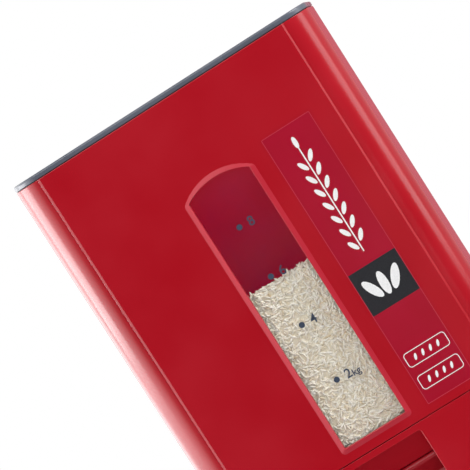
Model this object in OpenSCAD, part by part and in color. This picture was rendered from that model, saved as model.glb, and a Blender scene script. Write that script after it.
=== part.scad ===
/* [Body] */
// Width of the bin
body_w = 240; // [228:1:280]
// Depth of the bin
body_d = 260; // [250:1:300]
// Height of the seam between base and tank above the floor
base_h = 146; // [144:1:160]
// Height of the tank from the seam to its rim
tank_h = 281; // [276:1:330]
// Radius of the upright corners
corner_r = 20; // [16:1:24]
// Thickness of the moulded walls
wall = 2.5; // [2:0.1:3]
// Distance of the raised front panel's edges from the bin's sides
panel_inset = 20.5; // [20:0.5:25]
// Height of the raised front panel above the wall
panel_rise = 0.6; // [0.4:0.1:1]
// Open joint between base and tank
seam_gap = 0.5; // [0.3:0.1:0.8]
// Depth of the collar that plugs the tank into the base
collar_h = 10; // [8:0.5:12]
// Thickness of that collar
collar_t = 2; // [1.6:0.1:2.4]

/* [Window] */
// Sideways place of the window's middle
window_x = 4; // [0:0.5:6]
// Width over the window's frame
window_w = 56.5; // [48:0.5:62]
// Height over the window's frame
window_h = 215; // [180:1:215]
// Height of the window's foot above the seam
window_foot = 6.5; // [6:0.5:9]
// Rise of the arch at the window's top
window_sag = 10.6; // [8:0.1:12]
// Corner radius at the window's foot
window_r = 3; // [2.5:0.5:4]
// Width of the sloped frame round the window
frame_w = 4; // [3.5:0.5:4.5]
// Height of that frame above the front
frame_rise = 1.1; // [0.8:0.1:1.4]
// Thickness of the window pane
pane_t = 2; // [1.6:0.1:3]
// Overlap of the pane behind the wall
pane_lap = 3; // [2.5:0.5:4]
// Thickness of the window gasket
window_seal_t = 0.8; // [0.6:0.1:1.2]

/* [Label] */
// Distance from the window's middle to the label's middle
label_offset = 59.8; // [56:0.1:62]
// Width of the label film
label_w = 38.5; // [34:0.5:42]
// Thickness of the label film
label_t = 0.2; // [0.15:0.05:0.3]

/* [Lid] */
// Thickness of the lid's plate
lid_t = 4; // [3.5:0.1:5]
// Gap between the tank's rim and the lid's plate
lid_gap = 0.5; // [0.4:0.1:0.8]
// Depth of the lid's skirt
skirt_h = 8; // [6:0.5:10]
// Thickness of the lid's skirt
skirt_t = 2; // [1.6:0.1:2.5]
// Radius of the hinge barrel
barrel_r = 5; // [4.5:0.1:6]
// Length of each hinge ear from the bin's side
ear_l = 30.4; // [28:0.1:50]
// Radius of the hinge pins
hinge_pin_r = 2; // [1.5:0.1:2.4]
// Length of each hinge pin
hinge_pin_l = 30; // [24:1:32]
// Thickness of the lid's gasket
lid_seal_t = 0.4; // [0.3:0.05:0.4]

/* [Hopper] */
// Thickness of the hopper's floor
hopper_t = 2; // [1.6:0.1:2.5]
// Slope of the hopper's rear floor in degrees
hopper_rear_slope = 34; // [32:1:38]
// Slope of the hopper's side floors in degrees
hopper_side_slope = 40; // [36:1:44]
// Thickness of the gasket under the spout
gasket_t = 0.8; // [0.6:0.1:1.2]

/* [Measuring drum] */
// Distance of the drum's axle behind the front
axle_setback = 66; // [64:0.5:70]
// Distance of the drum's axle below the seam
axle_drop = 70; // [69:0.5:71]
// Radius of the drum
drum_r = 40; // [38:0.5:41]
// Length of the drum
drum_l = 72; // [70:1:80]
// Width of the chamber through the drum
chamber_w = 34; // [30:0.5:35]
// Thickness of the drum's moulded walls
drum_t = 2.5; // [2:0.1:3]
// Thickness of the chamber's end walls
drum_end_t = 3; // [2.5:0.1:4]
// Rearward tilt of the chamber at rest in degrees
chamber_tilt = 13; // [12:0.5:14]
// Turn of the drum when the lever is pressed in degrees
press_angle = 53; // [53:0.5:55]
// Radius of the drum's stub axles
stub_r = 5; // [4:0.1:6]

/* [Drum housing] */
// Running gap round the drum
drum_gap = 0.6; // [0.4:0.1:0.8]
// Thickness of the housing's shell
housing_t = 2.5; // [2:0.1:3]
// Thickness of the housing's side plates
plate_t = 4.4; // [3.5:0.1:5]
// Distance of the housing's rear wall behind the axle
housing_rear = 50; // [48:0.5:54]
// Outer radius of the axle bushes
bush_r = 8; // [7:0.1:9]
// Radius of the bushes' flanges
bush_flange_r = 10.5; // [10:0.1:12]
// Thickness of the bushes' flanges
bush_flange_t = 1.2; // [1:0.1:1.6]
// Distance of the underside of the mounting wings below the axle
wing_drop = 29; // [26:0.5:29]
// Thickness of the mounting wings
wing_t = 3; // [2.5:0.1:4]
// Depth of the mounting wings
wing_d = 56; // [52:1:58]

/* [Lever] */
// Width of the lever recess
recess_w = 61; // [56:0.5:62]
// Distance of the recess's top below the seam
recess_drop = 5.5; // [5:0.5:7]
// Height of the lever recess
recess_h = 88.5; // [87:0.5:90]
// Slope of the hood over the lever in degrees
hood_slope = 56; // [54:1:58]
// Slope of the recess's ceiling behind that hood in degrees
ceiling_slope = 13; // [12.5:0.5:13.5]
// Slope of the recess's floor in degrees
recess_floor_slope = 15; // [14:0.5:16]
// Wall thickness of the recess
recess_t = 2; // [1.6:0.1:2.4]
// Reach of the lever's tip from the axle
lever_reach = 67.5; // [66:0.5:69]
// Angle of the lever's tip above the horizontal at rest
lever_rise = 40; // [39:0.5:41]
// Radius of the lever's rounded tip
lever_tip_r = 2.5; // [2:0.1:3]
// Side clearance of the lever in its recess
lever_side_gap = 1; // [0.6:0.1:1.5]

/* [Return spring] */
// Mean radius of the coil
coil_r = 8; // [7.8:0.1:8.6]
// Radius of the spring wire
wire_r = 0.7; // [0.5:0.05:0.8]
// Turns of the coil
coil_turns = 5; // [4:1:6]
// Pitch of the coil
coil_pitch = 1.7; // [1.65:0.05:1.8]

/* [Tray] */
// Distance of the tray's sides from the bin's sides
tray_inset = 36; // [35:0.5:45]
// Depth of the tray behind its front
tray_d = 146; // [140:1:160]
// Thickness of the tray's walls
tray_t = 2; // [1.6:0.1:2.5]
// Gap between the tray's sides and the wings above them
tray_headroom = 3; // [2:0.5:6]
// Overhang of the tray's front on each side
tray_front_lip = 4; // [3:0.5:4.5]
// Thickness of the tray's front
tray_front_t = 4; // [3.5:0.1:5]
// Width of the finger pull in the tray's front
pull_w = 56; // [50:1:60]
// Depth of the finger pull
pull_d = 10; // [8:0.5:12]
// Height of the finger pull's notch in the tray's front
pull_h = 12; // [10:0.5:14]

/* [Underside] */
// Height of the rubber feet
foot_h = 4; // [3.5:0.1:4]
// Radius of the rubber feet
foot_r = 9; // [7:0.5:10]
// Thickness of the bottom plate
bottom_t = 2.5; // [2:0.1:2.6]
// Radius of the posts that carry the drum housing
post_r = 5; // [4:0.1:5.5]
// Distance of those posts from the bin's sides
post_inset = 23; // [22:0.5:26]
// Spacing of those posts from front to rear
post_span = 40; // [36:1:42]

/* [Fasteners] */
// Radius of the screws' shanks
screw_r = 1.5; // [1.2:0.1:1.6]
// Radius of the screws' heads
screw_head_r = 3; // [2.8:0.1:3.2]
// Height of the screws' heads
screw_head_h = 1.8; // [1.4:0.1:2]
// Length of the screws' shanks
screw_l = 10; // [8:0.5:11]

/* [Clearances] */
// Gap between fixed pieces that slip into each other
slip = 0.3; // [0.2:0.05:0.4]
// Running clearance of pins and axles
running = 0.05; // [0.02:0.01:0.08]
// Gap round the moving tray
tray_gap = 0.4; // [0.3:0.05:0.6]

/* [Hidden] */
$fn = 96;

// Extra length of cuts that run out through a face
over = 1;
// Sunk depth of pieces that are joined to a face
sink = 0.2;
// Small step between faces that must not meet
nudge = 0.1;

// Main levels and faces
front = -body_d / 2;
back = body_d / 2;
skin_front = front + panel_rise;
side = body_w / 2;
panel_half = side - panel_inset;
// The rear panel stands out as far as the window's frame, which keeps the bin's middle in place
rear_rise = frame_rise;
base_top = base_h - seam_gap;
rim_z = base_h + tank_h;
lid_z = rim_z + lid_gap;
lid_top = lid_z + lid_t;
collar_foot = base_h - collar_h;
collar_top = base_h + wall;

// Window
window_z = base_h + window_foot;
window_top = window_z + window_h;
inner_w = window_w - 2 * frame_w;
inner_h = window_h - 2 * frame_w;
frame_lip = 0.3;
inner_flatten = 0.6;
inner_sag = window_sag * inner_flatten;
wall_inside = skin_front + wall;
pane_y = wall_inside + window_seal_t;
label_x = window_x + label_offset;

// Lid hinge
barrel_half = side - ear_l;
barrel_inset = 0.6;
barrel_sunk = 0.3;
hinge_y = back - barrel_r - barrel_inset;
hinge_z = lid_top - barrel_r - barrel_sunk;
trough_gap = 1.2;
trough_rear_gap = 6.4;
trough_z = hinge_z - barrel_r - trough_gap;
trough_y = hinge_y - barrel_r - trough_rear_gap;
plate_end = hinge_y - barrel_r - slip - nudge;

// Drum and housing, with angles from straight up, positive to the rear
axle_y = front + axle_setback;
axle_z = base_h - axle_drop;
drum_half = drum_l / 2;
chamber_half = drum_half - drum_end_t;
cavity_half = drum_half + drum_gap;
plate_face = cavity_half + plate_t;
housing_r = drum_r + drum_gap;
shell_r = housing_r + housing_t;
mouth = asin(chamber_w / 2 / drum_r);
land = 1.2;
inlet_a = chamber_tilt - mouth + land;
inlet_b = chamber_tilt + mouth;
inlet_y0 = axle_y + drum_r * sin(inlet_a);
inlet_y1 = axle_y + drum_r * sin(inlet_b);
shield_end = chamber_tilt - press_angle - mouth - land;
floor_end = chamber_tilt + mouth - 180 + 3 * land;
outlet_a = 180 - press_angle + chamber_tilt - mouth - land;
outlet_b = 180 - press_angle + chamber_tilt + mouth - land;
rear_y = axle_y + housing_rear;
duct_top = axle_z + shell_r * cos(outlet_a) + housing_t;
housing_foot = axle_z - shell_r;
housing_top = axle_z + drum_r + land;
spout_z = housing_top + gasket_t;
inlet_floor = spout_z + hopper_t;
wing_z = axle_z - wing_drop;
wing_y = axle_y + (housing_rear - wing_d / 2) / 2;
post_x = side - post_inset;
wing_rim = 2;
wing_end = post_x + post_r + wing_rim;
wing_rib = 14;

// Recess and lever
recess_half = recess_w / 2;
recess_top = base_h - recess_drop;
recess_foot = recess_top - recess_h;
ceiling_drop = tan(ceiling_slope);
floor_drop = tan(recess_floor_slope);
recess_gap = 0.5;
hood_gap = 0.5;
hood_z = axle_z + (lever_reach - lever_tip_r) * sin(lever_rise) + lever_tip_r + hood_gap;
hood_y = wall_inside + (recess_top - hood_z) / tan(hood_slope);
recess_clear = shell_r + recess_gap;
ceiling_reach = 0.35;
recess_rear = axle_y - ceiling_reach * shell_r;
lever_half = recess_half - lever_side_gap;
lever_gap = 1;
lever_clear_r = shell_r + lever_gap;
lever_tip = lever_rise - 90;
root_land = 2.2;
root_a = shield_end - root_land;
root_b = floor_end + press_angle + root_land;
tab_a = (root_a + root_b) / 2;
pad_angle = 12;
throat_h = 9.5;
throat_angle = 5;
neck_t = 3.4;
neck_angle = 3.5;
nose_steps = 8;
tab_w = 10;
tab_t = 3;
tab_x = 15;
tab_depth = 1;

// Tray and underside
bottom_top = foot_h + bottom_t;
tray_z = bottom_top + slip;
tray_half = side - tray_inset;
tray_y = front + tray_front_t;
tray_back = tray_y + tray_d;
tray_top = wing_z - tray_headroom;
tray_rear_gap = 2;
tray_rear_top = housing_foot - tray_rear_gap;
tray_slant = 16;
tray_front_z = tray_z + tray_gap;
tray_front_rise = 1;
tray_front_top = tray_top + tray_front_rise;
tray_front_half = tray_half + tray_front_lip;
pull_half = pull_w / 2;
rail_t = 2;
rail_h = 9;
boss_r = 5.5;
boss_h = 20;
boss_root = 1;
boss_setback = 32;
foot_setback = 26;
rail_setback = 10;
boss_x = side - wall - boss_r + boss_root;
boss_y = back - boss_setback;
rear_boss_y = back - wall - boss_r + boss_root;
foot_x = side - foot_setback;
foot_y = back - foot_setback;

// Shaft ends and spring places along the axle
flange_face = plate_face + bush_flange_t;
coil_clear = 0.6;
clip_clear = 0.8;
spring_x = flange_face + over + coil_clear;
coil_l = coil_turns * coil_pitch;
collar_x = spring_x + coil_l + 2 * wire_r + coil_clear;
shaft_collar_t = 2.5;
stub_end = collar_x + shaft_collar_t;
clip_x = flange_face + clip_clear;
clip_t = 1;
clip_depth = 0.8;
clip_rim = 2.5;
clip_share = 0.7;
catch_r = 1.6;
catch_gap = 0.15;
catch_at = coil_r + wire_r + catch_r + catch_gap;
spring_leg = 11;
catch_back = 3;
fixed_catch = spring_leg - catch_back;

// Point in the side view at a radius and an angle round the axle
function polar(r, a) = [axle_y + r * sin(a), axle_z + r * cos(a)];
// Direction from a circle's middle to where a line from a point outside touches it
function touch_angle(c, r, p, turn) =
  atan2(p[1] - c[1], p[0] - c[0]) + turn * acos(r / norm(p - c));

// Rounded rectangle from its edges and corner radius
module round_rect(x0, x1, y0, y1, r) {
  translate([x0 + r, y0]) square([x1 - x0 - 2 * r, y1 - y0]);
  translate([x0, y0 + r]) square([x1 - x0, y1 - y0 - 2 * r]);
  for (x = [x0 + r, x1 - r], y = [y0 + r, y1 - r]) translate([x, y]) circle(r);
}

// Footprint of the bin, drawn in by an inset
module footprint(inset) {
  round_rect(inset - side, side - inset, skin_front + inset, back - inset, corner_r - inset);
}

module footprint_block(inset, z0, z1) {
  translate([0, 0, z0]) linear_extrude(z1 - z0) footprint(inset);
}

// Box from its two corners
module box(low, high) {
  translate(low) cube(high - low);
}

// Round bar along X at a point of the side view
module bar_x(r, x0, x1, at) {
  translate([x0, at[0], at[1]]) rotate([0, 90, 0]) cylinder(r = r, h = x1 - x0);
}

// Side view outline, given as points of depth and height, drawn out along X
module side_profile(points, x0, x1) {
  translate([x0, 0, 0]) rotate([90, 0, 90]) linear_extrude(x1 - x0) polygon(points);
}

// Wedge round the axle between two angles, clear of a radius
module axle_wedge(a0, a1, r, x0, x1) {
  reach = r / cos((a1 - a0) / 4);
  side_profile([polar(0, 0), polar(reach, a0), polar(reach, (a0 + a1) / 2), polar(reach, a1)], x0, x1);
}

// Round bar round the axle
module axle_bar(r, x0, x1) {
  bar_x(r, x0, x1, [axle_y, axle_z]);
}

// Arched window outline with its foot on the X axis
module arch(w, h, sag, r) {
  arc_r = (w * w / 4 + sag * sag) / (2 * sag);
  straight = h - sag;
  translate([-w / 2, r]) square([w, straight - r]);
  translate([r - w / 2, 0]) square([w - 2 * r, straight]);
  for (x = [r - w / 2, w / 2 - r]) translate([x, r]) circle(r);
  intersection() {
    translate([0, h - arc_r]) circle(arc_r);
    translate([-w / 2, straight - over]) square([w, sag + 2 * over]);
  }
}

// Arched plate that faces the front, from one depth to another
module arch_plate(grow, y0, y1) {
  sag = inner_sag + (window_sag - inner_sag) * grow / frame_w;
  translate([window_x, y1, window_z + frame_w - grow]) rotate([90, 0, 0]) linear_extrude(y1 - y0)
    arch(inner_w + 2 * grow, inner_h + 2 * grow, sag, window_r - frame_w / 2 + grow / 2);
}

// Funnel-shaped space over the spout, lowered and spread by a sheet thickness
module funnel_space(t) {
  front_wall = skin_front + wall + slip;
  front_slope = (window_z - inlet_floor) / (inlet_y0 - front_wall);
  rear_slope = tan(hopper_rear_slope);
  side_slope = tan(hopper_side_slope);
  front_down = t / cos(atan(front_slope));
  rear_down = t / cos(hopper_rear_slope);
  side_down = t / cos(hopper_side_slope);
  top = rim_z;
  floor_z = inlet_floor - t;
  front_y = inlet_y0 - (floor_z - inlet_floor + front_down) / front_slope;
  rear_y1 = inlet_y1 + (floor_z - inlet_floor + rear_down) / rear_slope;
  side_x = chamber_half + (floor_z - inlet_floor + side_down) / side_slope;
  run = body_d;
  intersection() {
    side_profile([[front_y - run, floor_z + run * front_slope], [front_y, floor_z], [rear_y1, floor_z],
                  [rear_y1 + run, floor_z + run * rear_slope], [rear_y1 + run, top + run],
                  [front_y - run, top + run]], -side, side);
    translate([0, back, 0]) rotate([90, 0, 0]) linear_extrude(body_d)
      polygon([[-side_x - run, floor_z + run * side_slope], [-side_x, floor_z], [side_x, floor_z],
               [side_x + run, floor_z + run * side_slope], [side_x + run, top + run],
               [-side_x - run, top + run]]);
  }
}

// Pan head screw with its head's seat at the origin and its shank along -Z
module screw() {
  cylinder(r = screw_head_r, h = screw_head_h);
  translate([0, 0, -screw_l]) cylinder(r = screw_r, h = screw_l + sink);
}

// Upper tank with its window opening, plug collar and hinge trough
module tank_shell() color("firebrick") {
  difference() {
    union() {
      footprint_block(0, base_h, rim_z);
      box([-panel_half, front, base_h], [panel_half, skin_front + over, rim_z]);
      box([-panel_half, back - over, base_h], [panel_half, back + rear_rise, trough_z - wall]);
      window_frame();
    }
    footprint_block(wall, base_h - over, rim_z + over);
    window_cut();
    box([label_x - label_w / 2 - slip, front - over, window_z - slip],
        [label_x + label_w / 2 + slip, front + label_t, window_top + slip]);
    box([-barrel_half - slip, back - wall - over, trough_z], [barrel_half + slip, back + over, rim_z + over]);
  }
  tank_collar();
  hinge_trough();
}

// Raised frame with a sloped face round the window
module window_frame() hull() {
  arch_plate(frame_w, front, skin_front, $fn = 48);
  arch_plate(frame_lip, front - frame_rise, front - frame_rise + nudge, $fn = 48);
}

// Opening for the window through that frame and the wall
module window_cut() hull() {
  arch_plate(frame_lip, front - frame_rise - over, front - frame_rise, $fn = 48);
  arch_plate(0, wall_inside, wall_inside + sink, $fn = 48);
}

// Collar that plugs into the base, open round the lever recess
module tank_collar() {
  inset = wall + slip;
  difference() {
    union() {
      footprint_block(inset, collar_foot, collar_top);
      footprint_block(wall - sink, base_h, collar_top);
    }
    footprint_block(inset + collar_t, collar_foot - over, collar_top + over);
    box([-recess_half - recess_t - slip, front, collar_foot - over],
        [recess_half + recess_t + slip, axle_y, base_h]);
  }
}

// Shelf, rim and round ears of the lid's hinge
module hinge_trough() {
  shelf_z = trough_z - wall;
  intersection() {
    footprint_block(0, shelf_z - over, lid_top);
    union() {
      box([-side, trough_y, shelf_z], [side, back, trough_z]);
      box([-side, trough_y, shelf_z], [side, trough_y + wall, rim_z]);
      for (m = [0, 1]) mirror([m, 0, 0]) difference() {
        union() {
          box([barrel_half + slip, hinge_y - barrel_r, shelf_z], [side, back, hinge_z]);
          bar_x(barrel_r, barrel_half + slip, side, hinge_at);
        }
        bar_x(hinge_pin_r, barrel_half - over, pin_out, hinge_at);
      }
    }
  }
}

// Clear pane whose raised middle fills the opening
module window_pane() color([0.85, 0.9, 0.92, 0.4]) {
  arch_plate(pane_lap, pane_y, pane_y + pane_t);
  arch_plate(-slip, pane_y - window_seal_t - wall / 2, pane_y + sink);
}

// Gasket between the pane and the wall
module window_seal() color("dimgray") difference() {
  arch_plate(pane_lap, wall_inside, pane_y);
  arch_plate(slip, wall_inside - over, pane_y + over);
}

// Thin film in its shallow pocket
module label_film() color("crimson")
  box([label_x - label_w / 2, front, window_z],
      [label_x + label_w / 2, front + label_t, window_top]);

// Sloped floor of the tank with its spout
module hopper_funnel() color("indianred") difference() {
  intersection() {
    footprint_block(wall + slip, spout_z, window_top);
    funnel_space(hopper_t);
  }
  funnel_space(0);
  box([-chamber_half, inlet_y0, spout_z - over], [chamber_half, inlet_y1, inlet_floor + over]);
}

// Gasket between the spout and the drum housing
module hopper_gasket() color("dimgray") difference() {
  box([-cavity_half, inlet_y0 - housing_t, housing_top], [cavity_half, inlet_y1 + housing_t, spout_z]);
  box([-chamber_half, inlet_y0, housing_top - over], [chamber_half, inlet_y1, spout_z + over]);
}

// Lower base with the lever recess, tray mouth and screw bosses
module base_shell() color("firebrick") {
  difference() {
    union() {
      difference() {
        union() {
          footprint_block(0, foot_h, base_top);
          box([-panel_half, front, foot_h], [panel_half, skin_front + over, base_top]);
          box([-panel_half, back - over, foot_h], [panel_half, back + rear_rise, base_top]);
        }
        footprint_block(wall, foot_h - over, base_top + over);
      }
      collar_ledge();
      recess_pocket(recess_t);
    }
    recess_pocket(0);
    axle_bar(recess_clear, -plate_face - over, plate_face + over);
    box([-tray_front_half - tray_gap, front - over, tray_z],
        [tray_front_half + tray_gap, wall_inside + over, tray_front_top + tray_gap]);
  }
  for (p = screw_places) translate([p[0], p[1], bottom_top]) screw_boss();
}

// Ledge that the tank's collar stands on
ledge_rim = 1;
module collar_ledge() {
  difference() {
    footprint_block(wall - sink, collar_foot - wall, collar_foot);
    footprint_block(wall + slip + collar_t + ledge_rim, collar_foot - wall - over, collar_foot + over);
  }
}

// Lever recess under its hood, solid at a wall thickness or hollow at none
module recess_pocket(t) {
  face = t > 0 ? skin_front : front - over;
  rear = recess_rear;
  hood_up = t / cos(hood_slope);
  ceiling_up = t / cos(ceiling_slope);
  bend = (hood_up - ceiling_up) / (tan(hood_slope) - ceiling_drop);
  bend_z = hood_z + ceiling_up - bend * ceiling_drop;
  floor_z = recess_foot - t / cos(recess_floor_slope);
  side_profile([[face, recess_top + hood_up], [wall_inside, recess_top + hood_up], [hood_y + bend, bend_z],
                [rear, bend_z - (rear - hood_y - bend) * ceiling_drop],
                [rear, floor_z - (rear - wall_inside) * floor_drop],
                [wall_inside, floor_z], [face, floor_z]],
               -recess_half - t, recess_half + t);
}

// Screw places under the base
screw_places = [[-boss_x, -boss_y], [boss_x, -boss_y], [-boss_x, boss_y], [boss_x, boss_y], [0, rear_boss_y]];

module screw_boss() difference() {
  cylinder(r = boss_r, h = boss_h);
  translate([0, 0, -over]) cylinder(r = screw_r + running, h = screw_l + over);
}

// Bottom plate with tray rails and housing posts
module bottom_plate() color("gray") {
  difference() {
    footprint_block(wall + slip, foot_h, bottom_top);
    for (p = screw_places) translate([p[0], p[1], foot_h - over])
      cylinder(r = screw_r + slip, h = bottom_t + 2 * over);
    for (x = [-foot_x, foot_x], y = [-foot_y, foot_y]) translate([x, y, foot_h - over])
      cylinder(r = foot_r / 3 + running, h = bottom_t + 2 * over);
  }
  for (m = [0, 1]) mirror([m, 0, 0]) {
    box([tray_half + tray_gap, tray_y + rail_setback, bottom_top - sink],
        [tray_half + tray_gap + rail_t, tray_back, bottom_top + rail_h]);
    for (p = post_places) translate([p[0], p[1], bottom_top - sink]) difference() {
      cylinder(r = post_r, h = wing_z - bottom_top + sink);
      translate([0, 0, wing_z - bottom_top - screw_l]) cylinder(r = screw_r + running, h = screw_l + over);
    }
  }
  box([-tray_half, tray_back + tray_gap, bottom_top - sink],
      [tray_half, tray_back + tray_gap + rail_t, bottom_top + rail_h]);
}

// Posts on one side that carry the drum housing
post_places = [[post_x, wing_y - post_span / 2], [post_x, wing_y + post_span / 2]];

// Feet with stems in the bottom plate
module rubber_feet() color("black")
  for (x = [-foot_x, foot_x], y = [-foot_y, foot_y]) translate([x, y, 0]) {
    cylinder(r = foot_r, h = foot_h);
    cylinder(r = foot_r / 3, h = foot_h + bottom_t);
  }

module bottom_screws() color("silver")
  for (p = screw_places) translate([p[0], p[1], foot_h]) mirror([0, 0, 1]) screw();

// Side plate of the housing between two places along the axle
module housing_plate(x0, x1) {
  axle_bar(shell_r, x0, x1);
  box([x0, inlet_y0 - housing_t, axle_z], [x1, rear_y, housing_top]);
  box([x0, axle_y, housing_foot], [x1, rear_y, axle_z + sink]);
}

// Space over the housing, which the hopper's gasket takes
module housing_roof_cut() {
  box([-plate_face - over, axle_y - shell_r - over, housing_top],
      [plate_face + over, axle_y + shell_r + over, axle_z + shell_r + over]);
}

// Wing that stands on the posts, from the side plate outwards
module housing_wing() {
  difference() {
    union() {
      box([plate_face - sink, wing_y - wing_d / 2, wing_z], [wing_end, wing_y + wing_d / 2, wing_z + wing_t]);
      translate([plate_face - sink, wing_y + wing_t / 2, wing_z + wing_t - sink]) rotate([90, 0, 0])
        linear_extrude(wing_t) polygon([[0, 0], [wing_rib, 0], [0, wing_rib]]);
    }
    for (p = post_places) translate([p[0], p[1], wing_z - over])
      cylinder(r = screw_r + slip, h = wing_t + 2 * over);
  }
}

// Places of the cover's screws in the side view
cover_lug = screw_r + housing_t;
cover_upper = 45;
cover_middle = 88;
cover_places = [polar(shell_r + housing_t, cover_upper), polar(shell_r + housing_t, cover_middle),
                [rear_y - cover_lug, housing_foot + 2 * cover_lug]];

// Shell round the drum with its inlet, outlet duct and left side plate
module drum_housing() color("lightgray") {
  difference() {
    union() {
      axle_bar(shell_r, -cavity_half - sink, cavity_half);
      housing_plate(-plate_face, -cavity_half);
      box([-cavity_half - sink, inlet_y0 - housing_t, axle_z],
          [cavity_half, inlet_y1 + housing_t, housing_top]);
      box([-cavity_half - sink, axle_y + housing_r * sin(outlet_a), duct_top - housing_t],
          [cavity_half, rear_y, duct_top]);
      box([-cavity_half - sink, rear_y - housing_t, housing_foot], [cavity_half, rear_y, duct_top]);
      for (p = cover_places) bar_x(cover_lug, cavity_half - screw_l, cavity_half, p);
    }
    axle_bar(housing_r, -cavity_half, cavity_half + over);
    axle_wedge(shield_end, floor_end, shell_r + over, -cavity_half, cavity_half + over);
    axle_wedge(outlet_a, outlet_b, shell_r + over, -chamber_half, chamber_half);
    box([-chamber_half, inlet_y0, axle_z], [chamber_half, inlet_y1, housing_top + over]);
    for (p = cover_places) bar_x(screw_r + running, cavity_half - screw_l - over, cavity_half + over, p);
    axle_bar(bush_r + running, -plate_face - over, over - cavity_half);
    housing_roof_cut();
  }
  mirror([1, 0, 0]) housing_wing();
  bar_x(catch_r, -spring_x - 2 * wire_r - slip, sink - plate_face, polar(catch_at, 0) + [fixed_catch, 0]);
}

// Right side plate of the housing with its wing
module housing_cover() color("lightgray") {
  difference() {
    housing_plate(cavity_half, plate_face);
    axle_bar(bush_r + running, cavity_half - over, plate_face + over);
    for (p = cover_places) bar_x(screw_r + running, cavity_half - over, plate_face + over, p);
    housing_roof_cut();
  }
  housing_wing();
}

module cover_screws() color("silver")
  for (p = cover_places) translate([plate_face, p[0], p[1]]) rotate([0, 90, 0]) screw();

module housing_screws() color("silver")
  for (m = [0, 1]) mirror([m, 0, 0])
    for (p = post_places) translate([p[0], p[1], wing_z + wing_t]) screw();

// Flanged bushes in the side plates
module axle_bushes() color("white")
  for (m = [0, 1]) mirror([m, 0, 0]) difference() {
    union() {
      axle_bar(bush_r, cavity_half + nudge, plate_face);
      axle_bar(bush_flange_r, plate_face, flange_face);
    }
    axle_bar(stub_r + running, cavity_half - over, flange_face + over);
  }

// Torsion spring: a coil round the left stub with two straight legs
turn_steps = 16;
spring_steps = coil_turns * turn_steps;
spring_turn = 360 * coil_turns;
// Place on the spring's path: leg, coil, leg
function spring_path() = concat(
  [[-spring_x - wire_r, spring_leg, coil_r]],
  [for (i = [0:spring_steps])
    let (a = spring_turn * i / spring_steps)
    [-spring_x - wire_r - coil_l * i / spring_steps, -coil_r * sin(a), coil_r * cos(a)]],
  [[-spring_x - wire_r - coil_l, -spring_leg, coil_r]]);
// Outward direction at that place
function spring_out(i) =
  let (a = i == 0 ? 0 : i > spring_steps ? spring_turn : spring_turn * (i - 1) / spring_steps)
  [0, -sin(a), cos(a)];

module return_spring() color("gainsboro") {
  path = spring_path();
  sides = 8;
  rings = len(path);
  points = [for (i = [0:rings - 1], k = [0:sides - 1])
    path[i] + wire_r * (cos(360 * k / sides) * spring_out(i) + sin(360 * k / sides) * [1, 0, 0])];
  walls = [for (i = [0:rings - 2], k = [0:sides - 1])
    let (n = (k + 1) % sides)
    [i * sides + k, i * sides + n, (i + 1) * sides + n, (i + 1) * sides + k]];
  first_end = [for (k = [0:sides - 1]) sides - 1 - k];
  last_end = [for (k = [0:sides - 1]) (rings - 1) * sides + k];
  translate([0, axle_y, axle_z]) polyhedron(points, concat(walls, [first_end, last_end]));
}

// Hinge pins, half in the lid's barrel and half in the tank's ears
pin_in = barrel_half - hinge_pin_l / 2;
pin_out = barrel_half + hinge_pin_l / 2;
hinge_at = [hinge_y, hinge_z];
module hinge_pins() color("silver")
  for (m = [0, 1]) mirror([m, 0, 0]) bar_x(hinge_pin_r, pin_in, pin_out - slip, hinge_at);

// Lid plate with its skirt and hinge barrel
module lid_panel() color("slategray") {
  difference() {
    union() {
      intersection() {
        footprint_block(0, lid_z, lid_top);
        box([-side, front, lid_z], [side, plate_end, lid_top]);
      }
      box([-barrel_half, plate_end - sink, lid_z], [barrel_half, hinge_y, lid_top]);
      bar_x(barrel_r, -barrel_half, barrel_half, hinge_at);
    }
    for (m = [0, 1]) mirror([m, 0, 0])
      bar_x(hinge_pin_r + running, pin_in - slip, barrel_half + over, hinge_at);
  }
  skirt_ring(skirt_inset, skirt_inset + skirt_t, trough_y - skirt_gap, lid_z - skirt_h, lid_z + sink);
}

skirt_gap = 0.8;
skirt_inset = wall + skirt_gap;

// Ring that follows the tank's mouth between two insets, up to a rear edge
module skirt_ring(outer, inner, rear, z0, z1) {
  t = inner - outer;
  translate([0, 0, z0]) linear_extrude(z1 - z0) difference() {
    round_rect(outer - side, side - outer, skin_front + outer, rear, corner_r - outer);
    round_rect(inner - side, side - inner, skin_front + inner, rear - t, corner_r - inner);
  }
}

// Gasket under the lid that meets the tank's rim
module lid_seal() color("black")
  skirt_ring(skirt_gap, wall + slip, trough_y + wall - slip, lid_z - lid_seal_t, lid_z);

// Drum with its through chamber, cored lobes and stub axles
module measuring_drum() color("indianred") {
  difference() {
    axle_bar(drum_r, -drum_half, drum_half);
    translate([0, axle_y, axle_z]) rotate([-chamber_tilt, 0, 0]) {
      cube([2 * chamber_half, chamber_w, 3 * drum_r], center = true);
      for (s = [-1, 1]) lobe_core(s);
    }
    for (s = [-1, 1]) lever_tab(s, tab_w + 2 * slip, tab_t + 2 * slip, drum_r - drum_t - over);
  }
  axle_bar(stub_r, -stub_end, sink - drum_half);
  difference() {
    axle_bar(stub_r, drum_half - sink, clip_x + 2 * clip_t);
    difference() {
      axle_bar(stub_r + over, clip_x - running, clip_x + clip_t + running);
      axle_bar(stub_r - clip_depth, clip_x - over, clip_x + clip_t + over);
    }
  }
}

// Hollow of one lobe, open at the right end
module lobe_core(s) {
  core_in = chamber_w / 2 + drum_t;
  intersection() {
    translate([drum_end_t - drum_half, 0, 0]) rotate([0, 90, 0]) cylinder(r = drum_r - drum_t, h = drum_l);
    box([-drum_half, s > 0 ? core_in : -2 * drum_r, -2 * drum_r],
        [2 * drum_half, s > 0 ? 2 * drum_r : -core_in, 2 * drum_r]);
  }
}

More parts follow.
